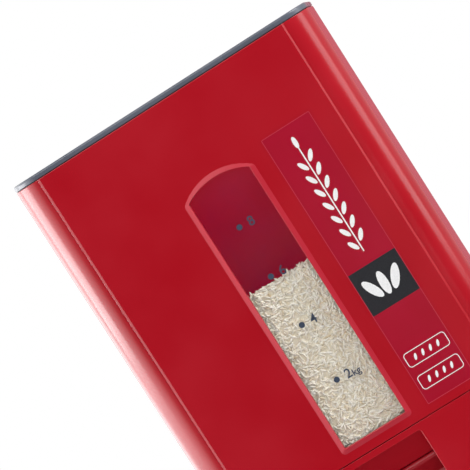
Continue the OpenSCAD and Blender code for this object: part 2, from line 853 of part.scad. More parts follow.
// Tab of the lever, on one side, from a radius inside the drum out to its face
module lever_tab(s, w, t, r0) {
  translate([0, axle_y, axle_z]) rotate([-tab_a, 0, 0])
    box([s * tab_x - w / 2, -t / 2, r0], [s * tab_x + w / 2, t / 2, drum_r + over]);
}

// Finger lever clipped to the drum's front
module press_lever() color("firebrick") {
  tip = polar(lever_reach - lever_tip_r, lever_tip);
  pad_rear = polar(lever_clear_r, lever_tip + pad_angle);
  throat = polar(drum_r + throat_h, lever_tip - throat_angle);
  shin = polar(lever_clear_r + neck_t, root_a - neck_angle);
  foot = polar(drum_r, root_b);
  from_a = touch_angle(tip, lever_tip_r, pad_rear, 1);
  to_a = touch_angle(tip, lever_tip_r, throat, -1) + 360;
  nose = [for (i = [0:nose_steps])
    let (a = from_a + (to_a - from_a) * i / nose_steps)
    tip + lever_tip_r * [cos(a), sin(a)]];
  difference() {
    side_profile(concat(nose, [throat, shin, foot, polar(drum_r / 2, root_b),
                               polar(drum_r / 2, lever_tip + pad_angle), pad_rear]), -lever_half, lever_half);
    axle_bar(drum_r + running, -recess_half, recess_half);
    intersection() {
      axle_bar(lever_clear_r, -recess_half, recess_half);
      axle_wedge(root_a, 0, 2 * drum_r, -recess_half, recess_half);
    }
  }
  for (s = [-1, 1]) lever_tab(s, tab_w, tab_t, drum_r - drum_t - tab_depth);
}

// Collar on the left stub that takes the spring's moving leg
module spring_collar() color("dimgray") {
  difference() {
    axle_bar(bush_flange_r, -stub_end, -collar_x);
    axle_bar(stub_r + running, -stub_end - over, over - collar_x);
  }
  bar_x(catch_r, -stub_end, coil_clear + 2 * wire_r - collar_x, polar(catch_at, 0) - [fixed_catch, 0]);
  box([-stub_end, axle_y - fixed_catch - catch_r, axle_z + stub_r + over],
      [-collar_x, axle_y, axle_z + catch_at]);
}

// Spring clip in the groove of the right stub
module axle_clip() color("silver") difference() {
  mouth_half = clip_share * stub_r;
  axle_bar(stub_r + clip_rim, clip_x, clip_x + clip_t);
  axle_bar(stub_r - clip_depth + running, clip_x - over, clip_x + clip_t + over);
  box([clip_x - over, axle_y - mouth_half, axle_z - stub_r - clip_rim - over],
      [clip_x + clip_t + over, axle_y + mouth_half, axle_z]);
}

// Tray that takes the measured rice, with a finger pocket behind its front
module rice_tray() color("whitesmoke") difference() {
  side_profile([[tray_y, tray_z], [tray_back, tray_z], [tray_back, tray_rear_top],
                [tray_back - 2 * tray_t, tray_rear_top], [tray_back - tray_slant, tray_top],
                [tray_y, tray_top]], -tray_half, tray_half);
  difference() {
    box([tray_t - tray_half, tray_y + tray_t, tray_z + tray_t],
        [tray_half - tray_t, tray_back - tray_t, tray_top + over]);
    box([-pull_half - tray_t, tray_y, tray_z],
        [pull_half + tray_t, tray_y + pull_d + 2 * tray_t, tray_top + 2 * over]);
  }
  box([-pull_half, tray_y - over, tray_z + 3 * tray_t],
      [pull_half, tray_y + pull_d + tray_t, tray_top + over]);
  for (s = [-1, 1]) tray_screw_hole(s, tray_y - over, tray_y + tray_t + over);
}

// Screw hole that joins the tray to its front
tray_screw_x = 60;
tray_screw_z = 22;
tray_screw_l = 5;
module tray_screw_hole(s, y0, y1) {
  translate([s * tray_screw_x, y1, tray_screw_z]) rotate([90, 0, 0])
    cylinder(r = screw_r + running, h = y1 - y0);
}

// Front of the tray with its finger notch
module tray_front() color("firebrick") difference() {
  box([-tray_front_half, front, tray_front_z], [tray_front_half, tray_y, tray_front_top]);
  translate([0, tray_y + over, 0]) rotate([90, 0, 0]) linear_extrude(tray_front_t + 2 * over)
    round_rect(-pull_half, pull_half, tray_front_top - pull_h, tray_front_top + pull_h, pull_h / 2);
  for (s = [-1, 1]) tray_screw_hole(s, tray_y + tray_t - tray_screw_l, tray_y + over);
}

module tray_screws() color("silver")
  for (s = [-1, 1]) translate([s * tray_screw_x, tray_y + tray_t, tray_screw_z]) rotate([-90, 0, 0]) {
    cylinder(r = screw_head_r, h = screw_head_h);
    translate([0, 0, slip - tray_screw_l]) cylinder(r = screw_r, h = tray_screw_l);
  }

tank_shell();
window_pane();
window_seal();
label_film();
hopper_funnel();
hopper_gasket();
base_shell();
bottom_plate();
rubber_feet();
bottom_screws();
drum_housing();
housing_cover();
cover_screws();
housing_screws();
axle_bushes();
return_spring();
hinge_pins();
lid_panel();
lid_seal();
measuring_drum();
press_lever();
spring_collar();
axle_clip();
rice_tray();
tray_front();
tray_screws();
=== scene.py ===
import math
import random

import bmesh
import bpy
from mathutils import Matrix, Quaternion, Vector


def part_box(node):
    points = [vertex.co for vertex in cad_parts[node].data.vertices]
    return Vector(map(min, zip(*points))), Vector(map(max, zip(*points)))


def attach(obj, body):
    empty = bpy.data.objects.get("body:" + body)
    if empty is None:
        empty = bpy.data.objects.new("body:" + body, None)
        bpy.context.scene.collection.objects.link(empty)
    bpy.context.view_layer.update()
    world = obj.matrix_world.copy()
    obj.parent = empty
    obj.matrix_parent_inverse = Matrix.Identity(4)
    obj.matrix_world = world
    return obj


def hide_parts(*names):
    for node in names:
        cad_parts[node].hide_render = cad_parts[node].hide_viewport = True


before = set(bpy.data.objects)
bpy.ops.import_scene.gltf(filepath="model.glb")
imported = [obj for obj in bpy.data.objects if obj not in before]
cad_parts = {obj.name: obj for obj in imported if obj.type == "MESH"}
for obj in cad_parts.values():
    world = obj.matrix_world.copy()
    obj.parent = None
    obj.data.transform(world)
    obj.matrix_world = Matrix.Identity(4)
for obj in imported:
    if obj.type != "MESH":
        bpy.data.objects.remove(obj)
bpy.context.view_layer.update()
mm = 0.001
hair = 0.01 * mm
scene = bpy.context.scene
print("frame loaded,", len(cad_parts), "nodes")


# Small helpers

def linearColour(hexText):
    channels = [int(hexText[i:i + 2], 16) / 255 for i in (1, 3, 5)]
    return tuple(c / 12.92 if c <= 0.04045 else ((c + 0.055) / 1.055) ** 2.4 for c in channels) + (1.0,)


def addNode(tree, kind, settings=None, inputs=None):
    node = tree.nodes.new(kind)
    for name, value in (settings or {}).items():
        setattr(node, name, value)
    for name, value in (inputs or {}).items():
        if isinstance(value, bpy.types.NodeSocket):
            tree.links.new(value, node.inputs[name])
        else:
            node.inputs[name].default_value = value
    return node


def newMaterial(name):
    material = bpy.data.materials.new(name)
    material.use_nodes = True
    material.node_tree.nodes.clear()
    return material, material.node_tree


def finishMaterial(tree, inputs):
    shader = addNode(tree, "ShaderNodeBsdfPrincipled", inputs=inputs)
    addNode(tree, "ShaderNodeOutputMaterial", inputs={"Surface": shader.outputs["BSDF"]})


def rampNode(tree, factor, stops):
    ramp = addNode(tree, "ShaderNodeValToRGB", inputs={"Fac": factor})
    elements = ramp.color_ramp.elements
    while len(elements) < len(stops):
        elements.new(1.0)
    for element, (place, colour) in zip(elements, stops):
        element.position = place
        element.color = linearColour(colour)
    return ramp.outputs["Color"]


def noise(tree, size, detail):
    # cloudy pattern with features of that many millimetres
    place = addNode(tree, "ShaderNodeTexCoord").outputs["Object"]
    inputs = {"Vector": place, "Scale": 1 / (size * mm), "Detail": detail}
    return addNode(tree, "ShaderNodeTexNoise", inputs=inputs).outputs["Fac"]


def spread(tree, value, given, wanted=(0.0, 1.0), blend="LINEAR"):
    # carries one range of values over to another
    inputs = {"Value": value, "From Min": given[0], "From Max": given[1],
              "To Min": wanted[0], "To Max": wanted[1]}
    return addNode(tree, "ShaderNodeMapRange", {"interpolation_type": blend}, inputs).outputs["Result"]


def calculate(tree, operation, *values):
    inputs = dict(enumerate(values))
    return addNode(tree, "ShaderNodeMath", {"operation": operation}, inputs).outputs["Value"]


def bumpNode(tree, height, strength, depth):
    inputs = {"Height": height, "Strength": strength, "Distance": depth * mm}
    return addNode(tree, "ShaderNodeBump", inputs=inputs).outputs["Normal"]


def mixLevels(tree, factor, first, second):
    inputs = {"Factor": factor, "A": first, "B": second}
    return addNode(tree, "ShaderNodeMix", {"data_type": "FLOAT"}, inputs).outputs["Result"]


def mixColours(tree, factor, first, second):
    # the colour sockets of this node are known by number
    inputs = {"Factor": factor, 6: linearColour(first), 7: linearColour(second)}
    return addNode(tree, "ShaderNodeMix", {"data_type": "RGBA"}, inputs).outputs[2]


def seenDirectly(tree):
    # one for what the camera sees straight or through the pane
    path = addNode(tree, "ShaderNodeLightPath").outputs
    return calculate(tree, "MAXIMUM", path["Is Camera Ray"], path["Is Transmission Ray"])


# Materials

refraction = {"abs": 1.54, "polypropylene": 1.49, "styrene": 1.57, "film": 1.5, "rice": 1.5}
moulded = {"hazeSize": 70, "hazeDetail": 3.0, "hazeRange": (0.35, 0.65), "peelSize": 5, "grainSize": 1.2,
           "peelDetail": 1.0, "peelStrength": 0.5}


def mouldedPlastic(name, plastic, colours, roughness, peelDepth, peelSize=moulded["grainSize"]):
    # moulded plastic: even colour with cloudy gloss and a faint ripple from the tool
    material, tree = newMaterial(name)
    haze = noise(tree, moulded["hazeSize"], moulded["hazeDetail"])
    peel = noise(tree, peelSize, moulded["peelDetail"])
    colour = rampNode(tree, haze, list(zip(moulded["hazeRange"], colours)))
    finishMaterial(tree, {"Base Color": colour, "IOR": refraction[plastic],
                          "Roughness": spread(tree, haze, moulded["hazeRange"], roughness),
                          "Normal": bumpNode(tree, peel, moulded["peelStrength"], peelDepth)})
    return material


def clearStyrene():
    # clear moulded pane: mostly see-through, with a slight bluish veil
    material, tree = newMaterial("clear styrene, moulded")
    dust = noise(tree, size=18, detail=4.0)
    veil = spread(tree, dust, given=(0.3, 0.75), wanted=(0.007, 0.012))
    finishMaterial(tree, {"Base Color": linearColour("#6F6CF5"), "Roughness": 0.08,
                          "IOR": refraction["styrene"], "Alpha": veil})
    return material


def blackRubber():
    # moulded rubber: dull, with a fine skin
    material, tree = newMaterial("black rubber, moulded")
    skin = noise(tree, size=0.8, detail=2.0)
    colour = rampNode(tree, skin, [(0.3, "#131314"), (0.7, "#222224")])
    finishMaterial(tree, {"Base Color": colour, "Roughness": 0.72,
                          "Normal": bumpNode(tree, skin, strength=0.4, depth=0.1)})
    return material


def zincSteel():
    # zinc plated steel: bright grey with cloudy gloss
    material, tree = newMaterial("zinc plated steel, drawn")
    cloud = noise(tree, size=1.5, detail=3.0)
    colour = rampNode(tree, cloud, [(0.3, "#A9ABAF"), (0.7, "#C6C8CB")])
    gloss = spread(tree, cloud, given=(0.0, 1.0), wanted=(0.22, 0.42))
    finishMaterial(tree, {"Base Color": colour, "Metallic": 1.0, "Roughness": gloss})
    return material


def printInk(name, colour, fade):
    # screen printed ink: flat and slightly uneven
    material, tree = newMaterial(name)
    grain = noise(tree, size=0.9, detail=2.0)
    mix = rampNode(tree, grain, [(0.3, colour), (0.75, fade)])
    finishMaterial(tree, {"Base Color": mix, "Roughness": 0.45})
    return material


def filmMaterial():
    # printed film: a little duller and pinker than the moulding
    material, tree = newMaterial("printed film, laminated")
    cloud = noise(tree, size=40, detail=2.0)
    colour = rampNode(tree, cloud, [(0.35, "#9D0724"), (0.65, "#A20A29")])
    finishMaterial(tree, {"Base Color": colour, "Roughness": 0.22, "IOR": refraction["film"]})
    return material


def riceMaterial():
    # polished rice: chalky and waxy, each grain of its own tone
    material, tree = newMaterial("polished rice")
    tone = addNode(tree, "ShaderNodeAttribute", {"attribute_name": "grainTone"}).outputs["Fac"]
    chalkShare = 0.35
    mix = calculate(tree, "MULTIPLY_ADD", noise(tree, size=2.2, detail=2.0), chalkShare, tone)
    colour = rampNode(tree, mix, [(0.12, "#BEA071"), (0.28, "#D7C8A7"), (0.6, "#E6DFCB"), (1.0, "#EEECE0")])
    finishMaterial(tree, {"Base Color": colour, "Roughness": 0.42, "IOR": refraction["rice"]})
    return material


redAbs = mouldedPlastic("red ABS, polished moulding", "abs", colours=("#A5091A", "#AA0C1E"),
                        roughness=(0.17, 0.25), peelDepth=0.02, peelSize=moulded["peelSize"])
# window frame: same red ABS with a satin gloss; its base red is painted lighter than the tank's, as painted
# light on the frame's slopes
litSatinRed = mouldedPlastic("red ABS, satin moulding, painted lighter", "abs", colours=("#B00F28", "#B5122B"),
                          roughness=(0.4, 0.48), peelDepth=0.02)
# lever: same red ABS with a rougher gloss; its base red is painted darker than the tank's, as painted shade
# under the hood
shadedLeverRed = mouldedPlastic("red ABS, fine grained moulding, painted darker", "abs", colours=("#980818", "#9D0B1C"),
                          roughness=(0.32, 0.4), peelDepth=0.02)
slateAbs = mouldedPlastic("slate ABS, satin moulding", "abs", colours=("#535762", "#595D69"),
                          roughness=(0.22, 0.3), peelDepth=0.03)
whitePolyprop = mouldedPlastic("white polypropylene, moulded", "polypropylene",
                               colours=("#DEDDD8", "#E8E7E3"), roughness=(0.4, 0.5), peelDepth=0.05)
greyPolyprop = mouldedPlastic("grey polypropylene, moulded", "polypropylene",
                              colours=("#505155", "#5C5D61"), roughness=(0.45, 0.58), peelDepth=0.06)
clearPane = clearStyrene()
rubber = blackRubber()
steel = zincSteel()
film = filmMaterial()
rice = riceMaterial()
whiteInk = printInk("white ink, screen printed", "#ECECEC", "#DCDCDC")
filmEdge = printInk("film edge, cut", "#AE1F38", "#B4283F")
blackInk = printInk("black ink, screen printed", "#17171B", "#222227")
levelInk = printInk("slate ink, screen printed", "#2C3646", "#39455A")
print("materials made")


# Mesh helpers

def makeObject(name, bm):
    bmesh.ops.recalc_face_normals(bm, faces=bm.faces)
    mesh = bpy.data.meshes.new(name)
    bm.to_mesh(mesh)
    bm.free()
    made = bpy.data.objects.new(name, mesh)
    scene.collection.objects.link(made)
    return made


def combine(target, tool, operation):
    # joins or cuts with another solid, which is then removed
    modifier = target.modifiers.new(operation, "BOOLEAN")
    modifier.operation = operation
    modifier.solver = "EXACT"
    modifier.object = tool
    bpy.context.view_layer.update()
    shaped = bpy.data.meshes.new_from_object(target.evaluated_get(bpy.context.evaluated_depsgraph_get()))
    target.modifiers.clear()
    old = target.data
    target.data = shaped
    shaped.name = target.name
    bpy.data.meshes.remove(old)
    bpy.data.meshes.remove(tool.data)


def dress(piece, material, body, replaces=(), sharpAngle=32):
    piece.data.materials.clear()
    piece.data.materials.append(material)
    piece.data.shade_smooth()
    piece.data.set_sharp_from_angle(angle=math.radians(sharpAngle))
    even = piece.modifiers.new("even flats", "WEIGHTED_NORMAL")
    even.keep_sharp = True
    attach(piece, body)
    if replaces:
        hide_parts(*replaces)
    print("piece", piece.name, len(piece.data.polygons), "faces")


def roundCorner(bm, corner, radius, segments):
    bmesh.ops.bevel(bm, geom=[corner], affect="VERTICES", offset=radius, segments=segments, profile=0.5,
                    material=-1)


def softenEdges(bm, edges, radius):
    bmesh.ops.bevel(bm, geom=edges, affect="EDGES", offset=radius, segments=3, profile=0.5, material=-1,
                    clamp_overlap=True)


def pushOut(bm, faces, step):
    # thickens flat faces into a solid
    raised = bmesh.ops.extrude_face_region(bm, geom=faces)["geom"]
    bmesh.ops.translate(bm, verts=[v for v in raised if isinstance(v, bmesh.types.BMVert)], vec=step)


def takeLoop(bm):
    # keeps the edges of the newest face and drops the face
    face = list(bm.faces)[-1]
    edges = list(face.edges)
    bmesh.ops.delete(bm, geom=[face], context="FACES_ONLY")
    return edges


def looseRing(bm, points, rounding):
    # a closed loop through the points, each corner rounded by its own radius, as edges only
    corners = [bm.verts.new(p) for p in points]
    bm.faces.new(corners)
    for corner, (radius, segments) in zip(corners, rounding):
        if radius > 0:
            roundCorner(bm, corner, radius, segments)
    return takeLoop(bm)


def loft(bm, rings):
    # skins a row of loops and caps its two ends
    for first, second in zip(rings, rings[1:]):
        bmesh.ops.bridge_loops(bm, edges=first + second)
    for ring in (rings[0], rings[-1]):
        bmesh.ops.contextual_create(bm, geom=ring)


def block(name, low, high):
    bm = bmesh.new()
    size = Vector(high) - Vector(low)
    centre = (Vector(high) + Vector(low)) / 2
    bmesh.ops.create_cube(bm, size=1, matrix=Matrix.Translation(centre) @ Matrix.Diagonal((*size, 1)))
    return makeObject(name, bm)


def addCylinder(bm, radius, length, segments, matrix):
    bmesh.ops.create_cone(bm, cap_ends=True, segments=segments, radius1=radius, radius2=radius, depth=length,
                          matrix=matrix)


def barX(name, radius, x0, x1, y, z, segments=48):
    bm = bmesh.new()
    lie = Matrix.Translation(((x0 + x1) / 2, y, z)) @ Matrix.Rotation(math.pi / 2, 4, "Y")
    addCylinder(bm, radius, x1 - x0, segments, lie)
    return makeObject(name, bm)


def barZ(name, radius, z0, z1, x, y, segments=32):
    bm = bmesh.new()
    addCylinder(bm, radius, z1 - z0, segments, Matrix.Translation((x, y, (z0 + z1) / 2)))
    return makeObject(name, bm)


def frontRing(bm, y, x0, x1, z0, z1, radius, steps=4):
    # rounded rectangle that faces the front
    points = [(x0, y, z0), (x1, y, z0), (x1, y, z1), (x0, y, z1)]
    return looseRing(bm, points, [(radius, steps)] * 4)


def evenSteps(start, end, steps):
    return [start + (end - start) * i / steps for i in range(steps + 1)]


def edgeArc(centre, radius, start, end, steps):
    # points of a wall's section round an edge, as inset and height, with angles in degrees
    turns = [math.radians(turn) for turn in evenSteps(start, end, steps)]
    return [(centre[0] + radius * math.cos(a), centre[1] + radius * math.sin(a)) for a in turns]


# Outline of the bin seen from above, from the frame

tankLow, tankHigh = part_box("tank_shell")
baseLow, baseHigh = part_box("base_shell")
lidLow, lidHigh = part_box("lid_panel")
paneLow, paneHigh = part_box("window_pane")
labelLow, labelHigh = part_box("label_film")

outline = {
    "side": tankHigh.x,
    "front": labelLow.y,
    "back": -labelLow.y,
    "panelRise": 0.9 * mm,
    "panelLeft": [(-99.95 * mm, 0.0), (-99.85 * mm, 0.45 * mm), (-98.3 * mm, 0.9 * mm)],
    "panelRight": [(98.65 * mm, 0.9 * mm), (99.95 * mm, 0.0)],
    "panelRound": 0.04 * mm,
    "rearHalf": 99.5 * mm,
    "rearRise": tankHigh.y + labelLow.y,
    "rearRound": 0.5 * mm,
    "rearBreak": 0.3,
    "corner": 20 * mm,
    "cornerSteps": 12,
    "wall": 2.5 * mm,
}


def outlineRing(bm, inset, z, panel=True):
    side = outline["side"] - inset
    back = outline["back"] - inset
    skin = outline["front"] + outline["panelRise"] + inset
    turn = (outline["corner"] - inset, outline["cornerSteps"])
    points = [(side, back, z), (-side, back, z), (-side, skin, z)]
    rounding = [turn, turn, turn]
    if panel:
        crease = outline["panelLeft"] + outline["panelRight"]
        points += [(x, skin - rise, z) for x, rise in crease]
        rounding += [(outline["panelRound"], 1)] * len(crease)
    points.append((side, skin, z))
    rounding.append(turn)
    return looseRing(bm, points, rounding)


def outlineBlock(name, section, panel=True):
    bm = bmesh.new()
    loft(bm, [outlineRing(bm, inset, z, panel) for inset, z in section])
    return makeObject(name, bm)


def outlineBand(name, outer, inner, z0, z1):
    # upright band between two insets of the outline
    band = outlineBlock(name, [(outer, z0), (outer, z1)])
    combine(band, outlineBlock("core", [(inner, z0 - mm), (inner, z1 + mm)]), "DIFFERENCE")
    return band


# Upper tank: rounded shell, raised window frame, film pocket and hinge ears

tank = {
    "foot": 146 * mm,
    "rim": 427 * mm,
    "seamRound": 0.6 * mm,
    "rimRound": 0.4 * mm,
    "rimInnerRound": 0.4 * mm,
    "collarInset": 2.8 * mm,
    "collarThick": 2.0 * mm,
    "collarDepth": 10 * mm,
    "collarGapHalf": 32.8 * mm,
    "collarGapRear": -64 * mm,
    "rearTop": 417.5 * mm,
    "pocketGap": 0.3 * mm,
    "pocketDepth": 0.2 * mm,
}
window = {
    "lap": 3 * mm,
    "innerSag": 6.36 * mm,
    "sagGrowth": 1.06,
    "frame": 4.0 * mm,
    "rise": labelLow.y - tankLow.y,
    "lip": 0.3 * mm,
    "depth": 3.1 * mm,
    "footRound": 1.0 * mm,
    "footGrowth": 0.5,
    "shoulderRound": 0.7 * mm,
    "shoulderGrowth": 0.25,
    "roundSteps": 6,
    "archSteps": 12,
    "edgeRound": 0.4 * mm,
    "root": 0.5 * mm,
    "crestDrop": 0.15,
    "crest": [(0.3, 1.25), (0.08, 0.8), (0.0, 0.5)],
    "mouth": [(-1.0, 1.2), (0.05, 0.4), (0.25, 0.12), (0.6, 0.0)],
    "sharpAngle": 14,
    "clearance": 0.05 * mm,
}
hinge = {
    "y": 124.4 * mm,
    "z": 426.2 * mm,
    "barrel": 5 * mm,
    "barrelHalf": 89.6 * mm,
    "gap": 0.3 * mm,
    "troughZ": 420 * mm,
    "troughY": 113 * mm,
    "pin": 2 * mm,
    "pinOut": 104.6 * mm,
    "trim": 0.3 * mm,
}


def archRing(bm, grow, y):
    # the window's outline at a depth, grown from the clear opening
    opening = window["lap"]
    left, right = paneLow.x + opening - grow, paneHigh.x - opening + grow
    foot, top = paneLow.z + opening - grow, paneHigh.z - opening + grow
    half = (right - left) / 2
    middle = (right + left) / 2
    sag = window["innerSag"] + grow * window["sagGrowth"]
    radius = (half ** 2 + sag ** 2) / (2 * sag)
    shoulder = bm.verts.new((right, y, top - sag))
    before = set(bm.verts)
    bmesh.ops.spin(bm, geom=[shoulder], cent=(middle, y, top - radius), axis=(0, 1, 0),
                   angle=-2 * math.asin(half / radius), steps=window["archSteps"], use_merge=False)
    crown = sorted((v for v in bm.verts if v not in before), key=lambda v: -v.co.x)
    feet = [bm.verts.new((left, y, foot)), bm.verts.new((right, y, foot))]
    bm.faces.new([shoulder] + crown + feet)
    for corner, place in zip([shoulder, crown[-1]] + feet, ("shoulder", "shoulder", "foot", "foot")):
        radius = window[place + "Round"] + max(grow, 0) * window[place + "Growth"]
        roundCorner(bm, corner, radius, window["roundSteps"])
    return takeLoop(bm)


def archBlock(name, section):
    # solid through the window's outline, from pairs of depth behind the front and growth
    bm = bmesh.new()
    loft(bm, [archRing(bm, grow, outline["front"] + down) for down, grow in section])
    return makeObject(name, bm)


def crestSection(shares):
    # depth and growth round the frame's crest, from shares of its soft edge
    rise, lip, soft = window["rise"], window["lip"], window["edgeRound"]
    return [(down * soft - rise, lip + grow * soft) for down, grow in shares]


def windowFrame():
    # sloped frame with a soft crest
    soft, root = window["edgeRound"], window["root"]
    slope = (window["frame"] - window["lip"] - soft) / (window["rise"] - window["crestDrop"] * soft)
    return archBlock("window_frame", [(root, window["frame"] + root * slope)] + crestSection(window["crest"]))


def windowTool(wider=0.0):
    # opening with a soft outer edge
    depth = window["depth"]
    section = crestSection(window["mouth"]) + [(depth, 0.0), (depth + 2 * window["edgeRound"], 0.0)]
    return archBlock("window tool", [(down, grow + wider) for down, grow in section])


def buildFrame():
    ring = windowFrame()
    combine(ring, windowTool(), "DIFFERENCE")
    dress(ring, litSatinRed, "bin", sharpAngle=window["sharpAngle"])


def rearPanel(z0, z1):
    # raised flat at the back
    half, back, rise, soft = outline["rearHalf"], outline["back"], outline["rearRise"], outline["rearRound"]
    middle = outline["rearBreak"] * soft
    bm = bmesh.new()
    rings = []
    for out, inset in ((-mm, 0.0), (rise - soft, 0.0), (rise - middle, middle), (rise, soft)):
        rings.append(frontRing(bm, back + out, inset - half, half - inset, z0 + inset, z1 - inset, mm))
    loft(bm, rings)
    return makeObject("rear panel", bm)


def hingeBar(name, radius, first, last, segments=48):
    # round bar on the hinge's line
    x0, x1 = sorted((first, last))
    return barX(name, radius, x0, x1, hinge["y"], hinge["z"], segments)


def hingeEars():
    # shelf, rim and round ears at the rear, trimmed to the bin's outline
    shelf, near = hinge["troughZ"] - outline["wall"], hinge["troughY"]
    side, back = outline["side"] + mm, outline["back"] + mm
    ears = block("ears", (-side, near, shelf), (side, back, hinge["troughZ"]))
    rearRim = block("rear rim", (-side, near, shelf), (side, near + outline["wall"], tank["rim"]))
    combine(ears, rearRim, "UNION")
    for hand in (-1, 1):
        inner, outer = sorted((hand * (hinge["barrelHalf"] + hinge["gap"]), hand * side))
        ear = block("ear", (inner, hinge["y"] - hinge["barrel"], shelf), (outer, back, hinge["z"]))
        combine(ears, ear, "UNION")
        combine(ears, hingeBar("ear top", hinge["barrel"], inner, outer), "UNION")
        bore = hingeBar("pin bore", hinge["pin"], hand * (hinge["barrelHalf"] - mm), hand * hinge["pinOut"])
        combine(ears, bore, "DIFFERENCE")
    trim = outlineBlock("trim", [(hinge["trim"], shelf - mm), (hinge["trim"], tankHigh.z + mm)], panel=False)
    combine(ears, trim, "INTERSECT")
    return ears


def buildTank():
    wall, foot, rim = outline["wall"], tank["foot"], tank["rim"]
    seam, edge, inner = tank["seamRound"], tank["rimRound"], tank["rimInnerRound"]
    collarOut, collarIn = tank["collarInset"], tank["collarInset"] + tank["collarThick"]
    front, back = outline["front"], outline["back"]
    outside = edgeArc((seam, foot + seam), seam, 270, 180, steps=5)
    outside += edgeArc((edge, rim - edge), edge, 180, 90, steps=4)
    inside = [(wall, foot + wall)] + edgeArc((wall - inner, rim - inner), inner, 0, 80, steps=3)
    shell = outlineBlock("tank", outside)
    combine(shell, outlineBlock("grain space", inside + [(wall - 2 * inner, rim + mm)]), "DIFFERENCE")
    collarBore = outlineBlock("collar bore", [(collarIn, foot - mm), (collarIn, foot + wall + mm)])
    combine(shell, collarBore, "DIFFERENCE")
    collar = outlineBand("collar", collarOut, collarIn, foot - tank["collarDepth"], foot + wall / 2)
    combine(shell, collar, "UNION")
    combine(shell, windowTool(window["clearance"]), "DIFFERENCE")
    combine(shell, rearPanel(foot + seam, tank["rearTop"]), "UNION")
    gap = Vector((tank["pocketGap"], 0, tank["pocketGap"]))
    pocketHigh = Vector((labelHigh.x, front + tank["pocketDepth"], labelHigh.z))
    combine(shell, block("film pocket", labelLow - gap - Vector((0, mm, 0)), pocketHigh + gap), "DIFFERENCE")
    half = tank["collarGapHalf"]
    gapLow = (-half, front, foot - 2 * tank["collarDepth"])
    gapHigh = (half, tank["collarGapRear"], foot - hair)
    combine(shell, block("collar gap", gapLow, gapHigh), "DIFFERENCE")
    notch = hinge["barrelHalf"] + hinge["gap"]
    notchLow, notchHigh = (-notch, back - wall - mm, hinge["troughZ"]), (notch, back + mm, rim + mm)
    combine(shell, block("hinge notch", notchLow, notchHigh), "DIFFERENCE")
    combine(shell, hingeEars(), "UNION")
    dress(shell, redAbs, "bin", ["tank_shell"])


buildTank()
buildFrame()


# Lower base: rounded shell with the lever recess and the tray's mouth

base = {
    "footRound": 2.0 * mm,
    "seamRound": 0.25 * mm,
    "ledgeTop": 136 * mm,
    "ledgeThick": 2.5 * mm,
    "ledgeInset": 5.8 * mm,
    "bossRadius": 5.5 * mm,
    "bossHeight": 20 * mm,
    "bossFoot": 6.5 * mm,
    "bossBore": 1.55 * mm,
    "boreSteps": 16,
    "bossPlaces": [(-113 * mm, -98 * mm), (113 * mm, -98 * mm), (-113 * mm, 98 * mm), (113 * mm, 98 * mm),
                   (0, 123 * mm)],
}
recess = {
    "half": 30.5 * mm,
    "top": 140.5 * mm,
    "foot": 52 * mm,
    "wall": 2 * mm,
    "mouth": -126.9 * mm,
    "hood": (-113.6 * mm, 120.78 * mm),
    "rear": -79.1 * mm,
    "hoodSlope": math.radians(56),
    "ceilingSlope": math.radians(13),
    "floorSlope": math.radians(15),
    "cornerRound": 2.0 * mm,
    "edgeRound": 0.5 * mm,
}
axle = {"y": -64 * mm, "z": 76 * mm, "clear": 43.6 * mm, "half": 42.5 * mm, "steps": 96}
trayMouth = {
    "half": 88.4 * mm,
    "foot": 6.8 * mm,
    "top": 45.4 * mm,
    "edgeRound": 0.8 * mm,
    "cornerRound": 1.0 * mm,
}
# depth and growth of a rounded edge in the front, as shares of its radius
flareShares = [(-0.4, 1.7), (0.02, 0.95), (0.1, 0.6), (0.3, 0.3), (0.6, 0.1), (1.0, 0.0)]


def flare(soft):
    return [(down * soft, grow * soft) for down, grow in flareShares]


def mouthRings(bm, section, half, foot, top, corner):
    # loops of an opening in the front, from pairs of depth behind the front and growth
    front = outline["front"]
    return [frontRing(bm, front + down, -half - grow, half + grow, foot - grow, top + grow, corner + grow)
            for down, grow in section]


def recessTool(name, wall, soft):
    # space under the hood, grown by a wall
    hoodRise, ceilingRise = wall / math.cos(recess["hoodSlope"]), wall / math.cos(recess["ceilingSlope"])
    fall = math.tan(recess["ceilingSlope"])
    bend = (hoodRise - ceilingRise) / (math.tan(recess["hoodSlope"]) - fall)
    hoodY, hoodZ = recess["hood"][0] + bend, recess["hood"][1] + ceilingRise - bend * fall
    half, top = recess["half"] + wall, recess["top"] + hoodRise
    foot = recess["foot"] - wall / math.cos(recess["floorSlope"])
    drop = math.tan(recess["floorSlope"])
    mouth, rear = recess["mouth"], recess["rear"]
    corner = recess["cornerRound"] + wall
    bm = bmesh.new()
    rings = mouthRings(bm, flare(soft) if soft else [(mm, 0.0)], half, foot, top, corner)
    for y, ceiling in ((mouth, top), (hoodY, hoodZ), (rear, hoodZ - (rear - hoodY) * fall)):
        rings.append(frontRing(bm, y, -half, half, foot - (y - mouth) * drop, ceiling, corner))
    loft(bm, rings)
    return makeObject(name, bm)


def trayMouthTool():
    section = flare(trayMouth["edgeRound"]) + [(2 * outline["wall"], 0.0)]
    bm = bmesh.new()
    loft(bm, mouthRings(bm, section, trayMouth["half"], trayMouth["foot"], trayMouth["top"],
                        trayMouth["cornerRound"]))
    return makeObject("tray mouth", bm)


